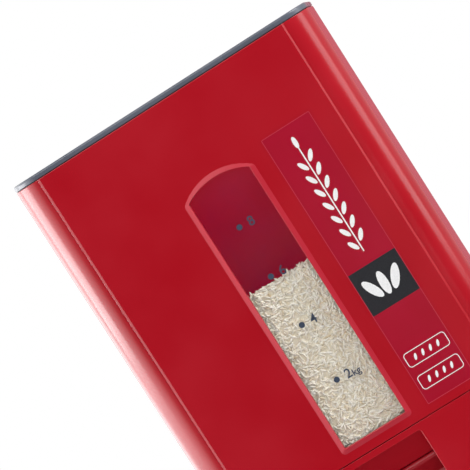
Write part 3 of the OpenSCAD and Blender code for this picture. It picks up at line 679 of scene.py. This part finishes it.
def buildBase():
    wall, foot, top = outline["wall"], baseLow.z, baseHigh.z
    low, seam = base["footRound"], base["seamRound"]
    ledge = base["ledgeTop"]
    outside = edgeArc((low, foot + low), low, 270, 180, steps=5)
    outside += edgeArc((seam, top - seam), seam, 180, 90, steps=5)
    shell = outlineBlock("base", outside)
    combine(shell, outlineBlock("base space", [(wall, foot - mm), (wall, top + mm)]), "DIFFERENCE")
    ledgeBand = outlineBand("ledge", wall / 2, base["ledgeInset"], ledge - base["ledgeThick"], ledge)
    combine(shell, ledgeBand, "UNION")
    combine(shell, rearPanel(foot + low, top - seam), "UNION")
    combine(shell, recessTool("recess walls", recess["wall"], 0), "UNION")
    combine(shell, recessTool("recess", 0, recess["edgeRound"]), "DIFFERENCE")
    half = axle["half"]
    drum = barX("drum clearance", axle["clear"], -half, half, axle["y"], axle["z"], axle["steps"])
    combine(shell, drum, "DIFFERENCE")
    combine(shell, trayMouthTool(), "DIFFERENCE")
    bossFoot, bossHeight = base["bossFoot"], base["bossHeight"]
    for x, y in base["bossPlaces"]:
        combine(shell, barZ("boss", base["bossRadius"], bossFoot, bossFoot + bossHeight, x, y), "UNION")
        bore = barZ("boss bore", base["bossBore"], 0, bossFoot + bossHeight / 2, x, y, base["boreSteps"])
        combine(shell, bore, "DIFFERENCE")
    dress(shell, redAbs, "bin", ["base_shell"])


buildBase()


# Lid: thin plate with a soft top edge, skirt and hinge barrel

lid = {
    "plateFoot": 427.5 * mm,
    "topRound": 1.5 * mm,
    "footRound": 0.5 * mm,
    "rearEdge": 119.0 * mm,
    "tongueDrop": 0.3 * mm,
    "barrelSteps": 64,
    "skirtInset": 3.3 * mm,
    "skirtThick": 2.0 * mm,
    "skirtRear": 112.2 * mm,
    "sink": 0.2 * mm,
    "pinBore": 2.05 * mm,
    "pinIn": 74.3 * mm,
}


def skirtBlock(name, inset, rear, z0, z1):
    side = outline["side"] - inset
    front = outline["front"] + outline["panelRise"] + inset
    turn = (outline["corner"] - inset, outline["cornerSteps"])
    spots = [(side, rear), (-side, rear), (-side, front), (side, front)]
    bm = bmesh.new()
    loft(bm, [looseRing(bm, [(x, y, z) for x, y in spots], [turn] * 4) for z in (z0, z1)])
    return makeObject(name, bm)


def buildLid():
    soft, low, foot, top = lid["topRound"], lid["footRound"], lid["plateFoot"], lidHigh.z
    section = edgeArc((low, foot + low), low, 270, 180, steps=3)
    section += edgeArc((soft, top - soft), soft, 180, 90, steps=6)
    plate = outlineBlock("lid", section, panel=False)
    reach, edge, half = outline["side"] + mm, lid["rearEdge"], hinge["barrelHalf"]
    rearCut = block("rear cut", (-reach, edge, foot - mm), (reach, outline["back"] + mm, top + mm))
    combine(plate, rearCut, "DIFFERENCE")
    tongue = block("tongue", (-half, edge - mm, foot), (half, hinge["y"], top - lid["tongueDrop"]))
    combine(plate, tongue, "UNION")
    combine(plate, hingeBar("barrel", hinge["barrel"], -half, half, lid["barrelSteps"]), "UNION")
    outer, inner = lid["skirtInset"], lid["skirtInset"] + lid["skirtThick"]
    upper, rear = foot + lid["sink"], lid["skirtRear"]
    skirt = skirtBlock("skirt", outer, rear, lidLow.z, upper)
    core = skirtBlock("skirt core", inner, rear - lid["skirtThick"], lidLow.z - mm, upper + mm)
    combine(skirt, core, "DIFFERENCE")
    combine(plate, skirt, "UNION")
    for hand in (-1, 1):
        bore = hingeBar("pin bore", lid["pinBore"], hand * lid["pinIn"], hand * (half + mm))
        combine(plate, bore, "DIFFERENCE")
    dress(plate, slateAbs, "lid", ["lid_panel"])


buildLid()


# Finger lever: a slim rounded nose on a root that follows the drum

lever = {
    "half": 29.5 * mm,
    "tip": (65.0 * mm, -50.0),
    "tipRound": 2.5 * mm,
    "tipSteps": 12,
    "throat": (49.5 * mm, -55.0),
    "shin": (47.5 * mm, -72.0),
    "drumRadius": 40.05 * mm,
    "clearRadius": 44.1 * mm,
    "rootLow": -83.0,
    "rootHigh": -68.5,
    "padRear": -38.0,
    "arcSteps": 5,
    "edgeRound": 0.8 * mm,
    "rimAngle": 1.2,
}


def axlePoint(radius, angle):
    # point round the drum's axle, with the angle from straight up and positive to the rear
    turn = math.radians(angle)
    return Vector((axle["y"] + radius * math.sin(turn), axle["z"] + radius * math.cos(turn)))


def touchTurn(centre, radius, point, hand):
    # turn from straight up to where a line from a point touches a circle
    away = point - centre
    return math.degrees(math.atan2(away.x, away.y) - hand * math.acos(radius / away.length))


def buildLever():
    tip, throat = axlePoint(*lever["tip"]), axlePoint(*lever["throat"])
    padRear = axlePoint(lever["clearRadius"], lever["padRear"])
    start = touchTurn(tip, lever["tipRound"], padRear, 1)
    end = touchTurn(tip, lever["tipRound"], throat, -1) - 360
    nose = [math.radians(turn) for turn in evenSteps(start, end, lever["tipSteps"])]
    profile = [tip + lever["tipRound"] * Vector((math.sin(a), math.cos(a))) for a in nose]
    profile += [throat, axlePoint(*lever["shin"])]
    for radius, first, last in ((lever["drumRadius"], lever["rootLow"], lever["rootHigh"]),
                                (lever["clearRadius"], lever["rootHigh"], lever["padRear"])):
        profile += [axlePoint(radius, turn) for turn in evenSteps(first, last, lever["arcSteps"])]
    bm = bmesh.new()
    sideFace = bm.faces.new([bm.verts.new((-lever["half"], p.x, p.y)) for p in profile])
    pushOut(bm, [sideFace], (2 * lever["half"], 0, 0))
    bm.normal_update()
    flat = [e for e in bm.edges if abs(e.verts[0].co.x - e.verts[1].co.x) < hair]
    softenEdges(bm, [e for e in flat if e.calc_face_angle(0) > lever["rimAngle"]], lever["edgeRound"])
    dress(makeObject("lever", bm), shadedLeverRed, "lever", ["press_lever"])


buildLever()


# Tray front: flat panel with a finger notch and soft edges

trayLow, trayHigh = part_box("tray_front")
trayPanel = {
    "notchHalf": 28 * mm,
    "notchDepth": 12 * mm,
    "notchRound": 6 * mm,
    "lipRound": 1.5 * mm,
    "cornerRound": 1.0 * mm,
    "edgeRound": 0.8 * mm,
    "steps": 6,
}


def buildTrayFront():
    half, depth = trayPanel["notchHalf"], trayHigh.z - trayPanel["notchDepth"]
    outer = (trayPanel["cornerRound"], trayPanel["steps"])
    notch = (trayPanel["notchRound"], trayPanel["steps"])
    lip = (trayPanel["lipRound"], trayPanel["steps"])
    spots = [(trayLow.x, trayLow.z, outer), (trayHigh.x, trayLow.z, outer), (trayHigh.x, trayHigh.z, outer),
             (half, trayHigh.z, lip), (half, depth, notch), (-half, depth, notch), (-half, trayHigh.z, lip),
             (trayLow.x, trayHigh.z, outer)]
    bm = bmesh.new()
    loops = [looseRing(bm, [(x, y, z) for x, z, turn in spots], [turn for x, z, turn in spots])
             for y in (trayLow.y, trayHigh.y)]
    loft(bm, loops)
    bm.normal_update()
    rims = [e for e in bm.edges if all(abs(v.co.y - trayLow.y) < hair for v in e.verts)]
    softenEdges(bm, rims, trayPanel["edgeRound"])
    dress(makeObject("tray_panel", bm), redAbs, "tray", ["tray_front"])


buildTrayFront()
print("shells made")


# Film right of the window, with plain generic marks

labelFilm = {
    "sunk": 0.04 * mm,
    "printLift": 0.03 * mm,
    "cornerRound": 0.8 * mm,
    "leastRound": 0.1 * mm,
    "edgeLine": 0.5 * mm,
    "squareFoot": 224 * mm,
    "squareTop": 257 * mm,
    "squareInset": 0.4 * mm,
    "squareRound": 0.2 * mm,
    "squareLift": 0.015 * mm,
    "squareMarksOut": 0.009 * mm,
    "squareGrain": (18 * mm, 6.4 * mm),
    "squareMarks": [(-9 * mm, -28), (0.0, 0), (9 * mm, 28)],
    "boxHalf": 16.5 * mm,
    "boxHeight": 11 * mm,
    "boxRound": 2.5 * mm,
    "boxLine": 0.55 * mm,
    "boxFeet": [180 * mm, 162 * mm],
    "boxGrain": (5 * mm, 2.0 * mm),
    "boxMarks": [-9 * mm, -3 * mm, 3 * mm, 9 * mm],
    "boxLean": 20,
    "stemFoot": 266 * mm,
    "stemTop": 350 * mm,
    "stemWidth": 0.9 * mm,
    "stemRound": 0.405 * mm,
    "grain": (9.0 * mm, 3.4 * mm),
    "grainSteps": 16,
    "grainPairs": 7,
    "grainOut": 4.2 * mm,
    "grainLean": 32,
    "grainStagger": 0.2,
    "tipOut": 4 * mm,
}
labelX = (labelLow.x + labelHigh.x) / 2


def flatPlate(bm, ring, thickness):
    pushOut(bm, bmesh.ops.contextual_create(bm, geom=ring)["faces"], (0, -thickness, 0))


def flatBorder(bm, y, x0, x1, z0, z1, radius, line):
    outer = frontRing(bm, y, x0, x1, z0, z1, radius)
    innerRound = max(radius - line, labelFilm["leastRound"])
    inner = frontRing(bm, y, x0 + line, x1 - line, z0 + line, z1 - line, innerRound)
    pushOut(bm, bmesh.ops.bridge_loops(bm, edges=outer + inner)["faces"], (0, -labelFilm["printLift"], 0))


def flatGrain(bm, x, y, z, size, lean):
    # printed grain: a long oval
    long, wide = size
    turn = Matrix.Translation((x, y, z)) @ Matrix.Rotation(math.radians(lean), 4, "Y")
    shape = turn @ Matrix.Diagonal((wide / 2, 1, long / 2, 1)) @ Matrix.Rotation(math.pi / 2, 4, "X")
    steps = labelFilm["grainSteps"]
    made = bmesh.ops.create_circle(bm, cap_ends=False, segments=steps, radius=1, matrix=shape)
    ring = list({e for v in made["verts"] for e in v.link_edges})
    flatPlate(bm, ring, labelFilm["printLift"])


def addStem(bm, face):
    # ear of grain: a stem with pairs of grains and one at its tip
    foot, top, half = labelFilm["stemFoot"], labelFilm["stemTop"], labelFilm["stemWidth"] / 2
    long = labelFilm["grain"][0]
    flatPlate(bm, frontRing(bm, face, labelX - half, labelX + half, foot, top, labelFilm["stemRound"]),
              labelFilm["printLift"])
    rise = (top - foot - long) / labelFilm["grainPairs"]
    for i in range(labelFilm["grainPairs"]):
        for hand in (-1, 1):
            flatGrain(bm, labelX + hand * labelFilm["grainOut"], face,
                      foot + long + rise * (i + hand * labelFilm["grainStagger"]), labelFilm["grain"],
                      hand * labelFilm["grainLean"])
    flatGrain(bm, labelX, face, top + labelFilm["tipOut"], labelFilm["grain"], 0)


def addBox(bm, face, foot):
    # outlined box with a row of grains
    top, half = foot + labelFilm["boxHeight"], labelFilm["boxHalf"]
    flatBorder(bm, face, labelX - half, labelX + half, foot, top, labelFilm["boxRound"], labelFilm["boxLine"])
    for x in labelFilm["boxMarks"]:
        flatGrain(bm, labelX + x, face, (foot + top) / 2, labelFilm["boxGrain"], labelFilm["boxLean"])


def buildLabel():
    back, face = labelHigh.y, labelLow.y + labelFilm["sunk"]
    edges = (labelLow.x, labelHigh.x, labelLow.z, labelHigh.z, labelFilm["cornerRound"])
    bm = bmesh.new()
    flatPlate(bm, frontRing(bm, back, *edges), back - face)
    dress(makeObject("label", bm), film, "bin", ["label_film"])

    foot, top, inset = labelFilm["squareFoot"], labelFilm["squareTop"], labelFilm["squareInset"]
    bm = bmesh.new()
    square = frontRing(bm, face, labelLow.x + inset, labelHigh.x - inset, foot, top, labelFilm["squareRound"])
    flatPlate(bm, square, labelFilm["squareLift"])
    dress(makeObject("label_square", bm), blackInk, "bin")

    bm = bmesh.new()
    flatBorder(bm, face, *edges, labelFilm["edgeLine"])
    dress(makeObject("label_edge", bm), filmEdge, "bin")

    bm = bmesh.new()
    addStem(bm, face)
    marksFace = face - labelFilm["squareMarksOut"]
    for x, lean in labelFilm["squareMarks"]:
        flatGrain(bm, labelX + x, marksFace, (foot + top) / 2, labelFilm["squareGrain"], lean)
    for boxFoot in labelFilm["boxFeet"]:
        addBox(bm, face, boxFoot)
    dress(makeObject("label_marks", bm), whiteInk, "bin")


buildLabel()


# Level scale printed on the pane

levels = {
    "print": 0.04 * mm,
    "dot": 2.15 * mm,
    "thicken": 0.1 * mm,
    "dotLeft": 3.8 * mm,
    "figureRight": 5.3 * mm,
    "figureHeight": 7.0 * mm,
    "unitHeight": 5.0 * mm,
    "figures": [("8", 325.2 * mm), ("6", 285.0 * mm), ("4", 245.2 * mm), ("2", 200.2 * mm)],
    "unit": "kg",
    "unitRight": 5.6 * mm,
    "unitDrop": 1.6 * mm,
    "capShare": 0.72,
    "curveSteps": 6,
    "dotSteps": 24,
    "weld": 0.001 * mm,
}
windowX = (paneLow.x + paneHigh.x) / 2


def addFigure(bm, words, height, x, y, z):
    # plain figures from the built-in font, as a mesh that stands on the pane
    text = bpy.data.curves.new("figure", "FONT")
    text.body = words
    text.size = height / levels["capShare"]
    text.extrude = levels["print"] / 2
    text.resolution_u = levels["curveSteps"]
    text.offset = levels["thicken"]
    text.align_x = "CENTER"
    holder = bpy.data.objects.new("figure", text)
    scene.collection.objects.link(holder)
    bpy.context.view_layer.update()
    mesh = bpy.data.meshes.new_from_object(holder.evaluated_get(bpy.context.evaluated_depsgraph_get()))
    mesh.transform(Matrix.Translation((x, y, z - height / 2)) @ Matrix.Rotation(math.pi / 2, 4, "X"))
    bpy.data.objects.remove(holder)
    bpy.data.curves.remove(text)
    bm.from_mesh(mesh)
    bpy.data.meshes.remove(mesh)


def buildLevels():
    face = paneLow.y - levels["print"] / 2
    dotX, figureX = windowX - levels["dotLeft"], windowX + levels["figureRight"]
    bm = bmesh.new()
    for figure, z in levels["figures"]:
        spot = Matrix.Translation((dotX, face, z)) @ Matrix.Rotation(math.pi / 2, 4, "X")
        addCylinder(bm, levels["dot"], levels["print"], levels["dotSteps"], spot)
        addFigure(bm, figure, levels["figureHeight"], figureX, face, z)
    unitZ = levels["figures"][-1][1] - levels["unitDrop"]
    addFigure(bm, levels["unit"], levels["unitHeight"], figureX + levels["unitRight"], face, unitZ)
    bmesh.ops.remove_doubles(bm, verts=bm.verts, dist=levels["weld"])
    dress(makeObject("level_marks", bm), levelInk, "bin")


buildLevels()
print("prints made")


# Rice behind the window: a bed that follows the hopper, with loose grains against the pane and on top

# rings: height, half width, front and rear, in millimetres
riceFill = {
    "seed": 11,
    "heapTop": 281 * mm,
    "grainLong": 5.7 * mm,
    "grainWide": 1.9 * mm,
    "longShares": (0.8, 1.1),
    "wideShares": (0.85, 1.1),
    "grainSides": 6,
    "grainRows": 4,
    "pointed": 0.25,
    "flattened": 0.85,
    "toneSpread": (3.2, 1.8),
    "toneMost": 0.75,
    "bedTone": 0.3,
    "frontGrains": 5000,
    "frontGap": 1.3,
    "frontDepth": 3 * mm,
    "frontSide": 27 * mm,
    "frontRagged": 3,
    "frontLean": 0.22,
    "topGrains": 4200,
    "topLoose": 2.5,
    "topLean": 0.25,
    "rings": [(122, 31.5, -70, -42), (154, 72, -120.8, 8), (191, 115, -120.8, 60),
              (234, 115, -120.8, 123), (250, 115, -120.8, 123), (277, 115, -120.8, -112)],
    "ringRound": 3.5 * mm,
    "ringSteps": 4,
}


def grainMesh():
    # one grain: a slim oval drawn to soft points
    bm = bmesh.new()
    sides, rows = riceFill["grainSides"], riceFill["grainRows"]
    bmesh.ops.create_uvsphere(bm, u_segments=sides, v_segments=rows, radius=0.5)
    for v in bm.verts:
        slim = 1 - riceFill["pointed"] * (2 * v.co.z) ** 2
        v.co.x *= slim
        v.co.y *= slim * riceFill["flattened"]
    mesh = bpy.data.meshes.new("grain")
    bm.to_mesh(mesh)
    bm.free()
    mesh.attributes.new("grainTone", "FLOAT", "POINT")
    return mesh


def scatterGrains(name, count, placeGrain, draw):
    bm = bmesh.new()
    pattern = grainMesh()
    points = len(pattern.vertices)
    for _ in range(count):
        grain = pattern.copy()
        grain.transform(placeGrain(draw))
        tone = draw.betavariate(*riceFill["toneSpread"]) * riceFill["toneMost"]
        grain.attributes["grainTone"].data.foreach_set("value", [tone] * points)
        bm.from_mesh(grain)
        bpy.data.meshes.remove(grain)
    bpy.data.meshes.remove(pattern)
    mesh = bpy.data.meshes.new(name)
    bm.to_mesh(mesh)
    bm.free()
    mesh.shade_smooth()
    mesh.materials.append(rice)
    made = bpy.data.objects.new(name, mesh)
    scene.collection.objects.link(made)
    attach(made, "bin")
    print("piece", name, count, "grains")


def grainSize(draw):
    long = riceFill["grainLong"] * draw.uniform(*riceFill["longShares"])
    wide = riceFill["grainWide"] * draw.uniform(*riceFill["wideShares"])
    return Matrix.Diagonal((wide, wide, long, 1))


def grainAtPane(draw):
    depth = draw.random() * riceFill["frontDepth"]
    x = windowX + draw.uniform(-1, 1) * riceFill["frontSide"]
    z = draw.uniform(paneLow.z, riceFill["heapTop"] - draw.random() ** 2 * riceFill["frontRagged"] * mm)
    lie = Matrix.Rotation(draw.uniform(0, math.pi), 4, "Y")
    lean = Matrix.Rotation(draw.gauss(0, riceFill["frontLean"]), 4, "X")
    spin = Matrix.Rotation(draw.uniform(0, math.pi), 4, "Z")
    y = paneHigh.y + riceFill["grainWide"] * riceFill["frontGap"] + depth
    return Matrix.Translation((x, y, z)) @ lie @ lean @ spin @ grainSize(draw)


def grainOnTop(draw):
    crest, side, _, nearEdge = riceFill["rings"][-1]
    dip, _, _, farEdge = riceFill["rings"][-2]
    share = draw.random()
    x = draw.uniform(-side, side) * mm
    y = (nearEdge + (farEdge - nearEdge) * share) * mm
    z = (crest + (dip - crest) * share + draw.random() * riceFill["topLoose"]) * mm
    turn = Matrix.Rotation(draw.uniform(0, 2 * math.pi), 4, "Z")
    flat = Matrix.Rotation(math.pi / 2 + draw.gauss(0, riceFill["topLean"]), 4, "X")
    return Matrix.Translation((x, y, z)) @ turn @ flat @ grainSize(draw)


def buildRice():
    draw = random.Random(riceFill["seed"])
    bm = bmesh.new()
    rings = []
    for z, side, front, back in riceFill["rings"]:
        spots = [(side, back), (-side, back), (-side, front), (side, front)]
        points = [(x * mm, y * mm, z * mm) for x, y in spots]
        rings.append(looseRing(bm, points, [(riceFill["ringRound"], riceFill["ringSteps"])] * 4))
    loft(bm, rings)
    bed = makeObject("rice_bed", bm)
    tone = bed.data.attributes.new("grainTone", "FLOAT", "POINT")
    tone.data.foreach_set("value", [riceFill["bedTone"]] * len(bed.data.vertices))
    dress(bed, rice, "bin")
    scatterGrains("rice_at_window", riceFill["frontGrains"], grainAtPane, draw)
    scatterGrains("rice_on_top", riceFill["topGrains"], grainOnTop, draw)


buildRice()


# Finishes of the CAD nodes that keep their own shape

nodeFinishes = {
    "window_pane": clearPane, "window_seal": rubber, "hopper_funnel": redAbs, "hopper_gasket": rubber,
    "bottom_plate": greyPolyprop, "rubber_feet": rubber, "bottom_screws": steel,
    "drum_housing": whitePolyprop, "housing_cover": whitePolyprop, "cover_screws": steel,
    "housing_screws": steel, "axle_bushes": whitePolyprop, "return_spring": steel, "hinge_pins": steel,
    "lid_seal": rubber, "measuring_drum": redAbs, "spring_collar": greyPolyprop, "axle_clip": steel,
    "rice_tray": whitePolyprop, "tray_screws": steel,
}
for name, finish in nodeFinishes.items():
    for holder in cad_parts[name].material_slots:
        holder.material = finish
print("finishes set on", len(nodeFinishes), "nodes")


# Floor, background, lamps and camera

studio = {
    "floorRadius": 0.5,
    "floorSteps": 96,
    "floorBack": 0.1,
    "floorColour": "#C9C9CB",
    # painted shade: the paper's colour as gloss sees it close to the bin, and how far that reaches
    "floorShadeInGloss": "#2A2A2C",
    "floorShadeReach": (0.27, 0.4),
    "floorFade": (0.2, 0.45),
    "floorGlow": (0.6, 1.0),
    "skyFill": 0.42,
    "cardColour": "#FF9AA8",
    "aim": (0.0, -0.1, 0.28),
}
# what gloss sees of the room: a level, and for each axis a range of the direction and what it is carried to
glossParts = {
    "left wall": {"level": 4.2, "X": ((-0.25, -0.95), (0.0, 1.0))},
    "left behind": {"level": 0.9, "X": ((0.05, -0.5), (0.0, 1.0)), "Y": ((0.2, 0.7), (0.0, 1.0))},
    "right behind": {"level": 0.6, "X": ((0.0, 0.6), (0.0, 1.0)), "Y": ((-0.8, 0.1), (0.15, 1.0))},
    "above": {"level": 1.0, "Z": ((0.4, 1.0), (0.02, 0.5))},
    "card": {"level": 0.55, "X": ((-0.1, 0.02), (0.0, 1.0)), "Y": ((0.8, 0.97), (0.0, 1.0))},
}
lamps = {
    "top front": {"place": (-0.45, -1.9, 1.75), "size": (1.0, 1.0), "power": 15},
    "front low": {"place": (0.35, -1.5, 0.1), "size": (0.8, 0.2), "power": 3.7, "gloss": False},
    "left wall": {"place": (-1.95, -0.3, 0.42), "size": (1.4, 0.6), "power": 21},
    "right strip": {"place": (1.45, -0.38, 0.7), "size": (0.7, 1.4), "power": 8},
    "right upper": {"place": (1.3, -0.6, 1.35), "size": (0.7, 0.7), "power": 19},
    "under lid": {"place": (0.0, -0.105, 0.395), "size": (0.2, 0.04), "power": 0.33, "gloss": False,
                  "aim": (0.0, 0.12, 0.36)},
}
camera = {
    "place": (0.14526, -1.630, 0.420),
    "yaw": -0.09988,
    "pitch": -0.06458,
    "roll": -0.56873,
    "lens": 168.71,
    "sensor": 36,
    "clip": (0.05, 50),
}


def buildFloor():
    # paper disc: shows the shadow near the bin and runs out to white; close to the bin, gloss sees it dark, a
    # painted shade in the bin's reflections
    bm = bmesh.new()
    middle = (0, studio["floorBack"], 0)
    bmesh.ops.create_circle(bm, cap_ends=True, segments=studio["floorSteps"], radius=studio["floorRadius"],
                            matrix=Matrix.Translation(middle))
    floor = makeObject("floor", bm)
    material, tree = newMaterial("matte paper sweep")
    place = addNode(tree, "ShaderNodeTexCoord").outputs["Object"]
    distance = addNode(tree, "ShaderNodeVectorMath", {"operation": "DISTANCE"}, {0: place, 1: middle})
    away = distance.outputs["Value"]
    glow = spread(tree, away, studio["floorFade"], studio["floorGlow"], "SMOOTHSTEP")
    near = spread(tree, away, studio["floorShadeReach"], (1.0, 0.0), "SMOOTHSTEP")
    glossy = addNode(tree, "ShaderNodeLightPath").outputs["Is Glossy Ray"]
    # painted shade, seen only in reflections close to the bin
    glossShade = calculate(tree, "MULTIPLY", near, glossy)
    share = calculate(tree, "MULTIPLY", seenDirectly(tree), glow)
    tone = mixColours(tree, glossShade, studio["floorColour"], studio["floorShadeInGloss"])
    paper = addNode(tree, "ShaderNodeBsdfDiffuse", inputs={"Color": tone})
    white = addNode(tree, "ShaderNodeEmission", inputs={"Color": linearColour("#FFFFFF"), "Strength": 1.0})
    mix = addNode(tree, "ShaderNodeMixShader",
                  inputs={0: share, 1: paper.outputs["BSDF"], 2: white.outputs["Emission"]})
    addNode(tree, "ShaderNodeOutputMaterial", inputs={"Surface": mix.outputs["Shader"]})
    floor.data.materials.append(material)


def buildWorld():
    # white to the camera, softer as fill light; gloss sees a dark room with pale walls and a pink card behind
    world = bpy.data.worlds.new("studio")
    scene.world = world
    world.use_nodes = True
    tree = world.node_tree
    tree.nodes.clear()
    direction = addNode(tree, "ShaderNodeTexCoord").outputs["Generated"]
    axes = addNode(tree, "ShaderNodeSeparateXYZ", inputs={"Vector": direction}).outputs
    glossy = addNode(tree, "ShaderNodeLightPath").outputs["Is Glossy Ray"]
    total = 0.0
    shares = {}
    for part, values in glossParts.items():
        share = 1.0
        for axis in [name for name in "XYZ" if name in values]:
            step = spread(tree, axes[axis], *values[axis], "SMOOTHSTEP")
            share = calculate(tree, "MULTIPLY", share, step)
        total = calculate(tree, "MULTIPLY_ADD", share, values["level"], total)
        shares[part] = share
    cardGloss = calculate(tree, "MULTIPLY", shares["card"], glossy)
    tint = mixColours(tree, cardGloss, "#FFFFFF", studio["cardColour"])
    level = mixLevels(tree, seenDirectly(tree), mixLevels(tree, glossy, studio["skyFill"], total), 1.0)
    sky = addNode(tree, "ShaderNodeBackground", inputs={"Color": tint, "Strength": level})
    addNode(tree, "ShaderNodeOutputWorld", inputs={"Surface": sky.outputs["Background"]})


def addLamp(name, place, size, power, gloss=True, aim=studio["aim"]):
    lamp = bpy.data.lights.new(name, "AREA")
    lamp.shape = "RECTANGLE"
    lamp.size, lamp.size_y = size
    lamp.energy = power
    holder = bpy.data.objects.new(name, lamp)
    scene.collection.objects.link(holder)
    holder.location = place
    holder.rotation_mode = "QUATERNION"
    holder.rotation_quaternion = (Vector(aim) - Vector(place)).to_track_quat("-Z", "Y")
    holder.visible_camera = False
    holder.visible_glossy = gloss


def buildCamera():
    lens = bpy.data.cameras.new("camera")
    lens.lens = camera["lens"]
    lens.sensor_width = camera["sensor"]
    lens.clip_start, lens.clip_end = camera["clip"]
    holder = bpy.data.objects.new("camera", lens)
    scene.collection.objects.link(holder)
    yaw, pitch = camera["yaw"], camera["pitch"]
    ahead = Vector((math.sin(yaw) * math.cos(pitch), math.cos(yaw) * math.cos(pitch), math.sin(pitch)))
    holder.location = camera["place"]
    holder.rotation_mode = "QUATERNION"
    holder.rotation_quaternion = ahead.to_track_quat("-Z", "Y") @ Quaternion((0, 0, 1), camera["roll"])
    scene.camera = holder


buildFloor()
buildWorld()
for lampName, values in lamps.items():
    addLamp(lampName, **values)
buildCamera()
scene.view_settings.view_transform = "Standard"
print("studio made")
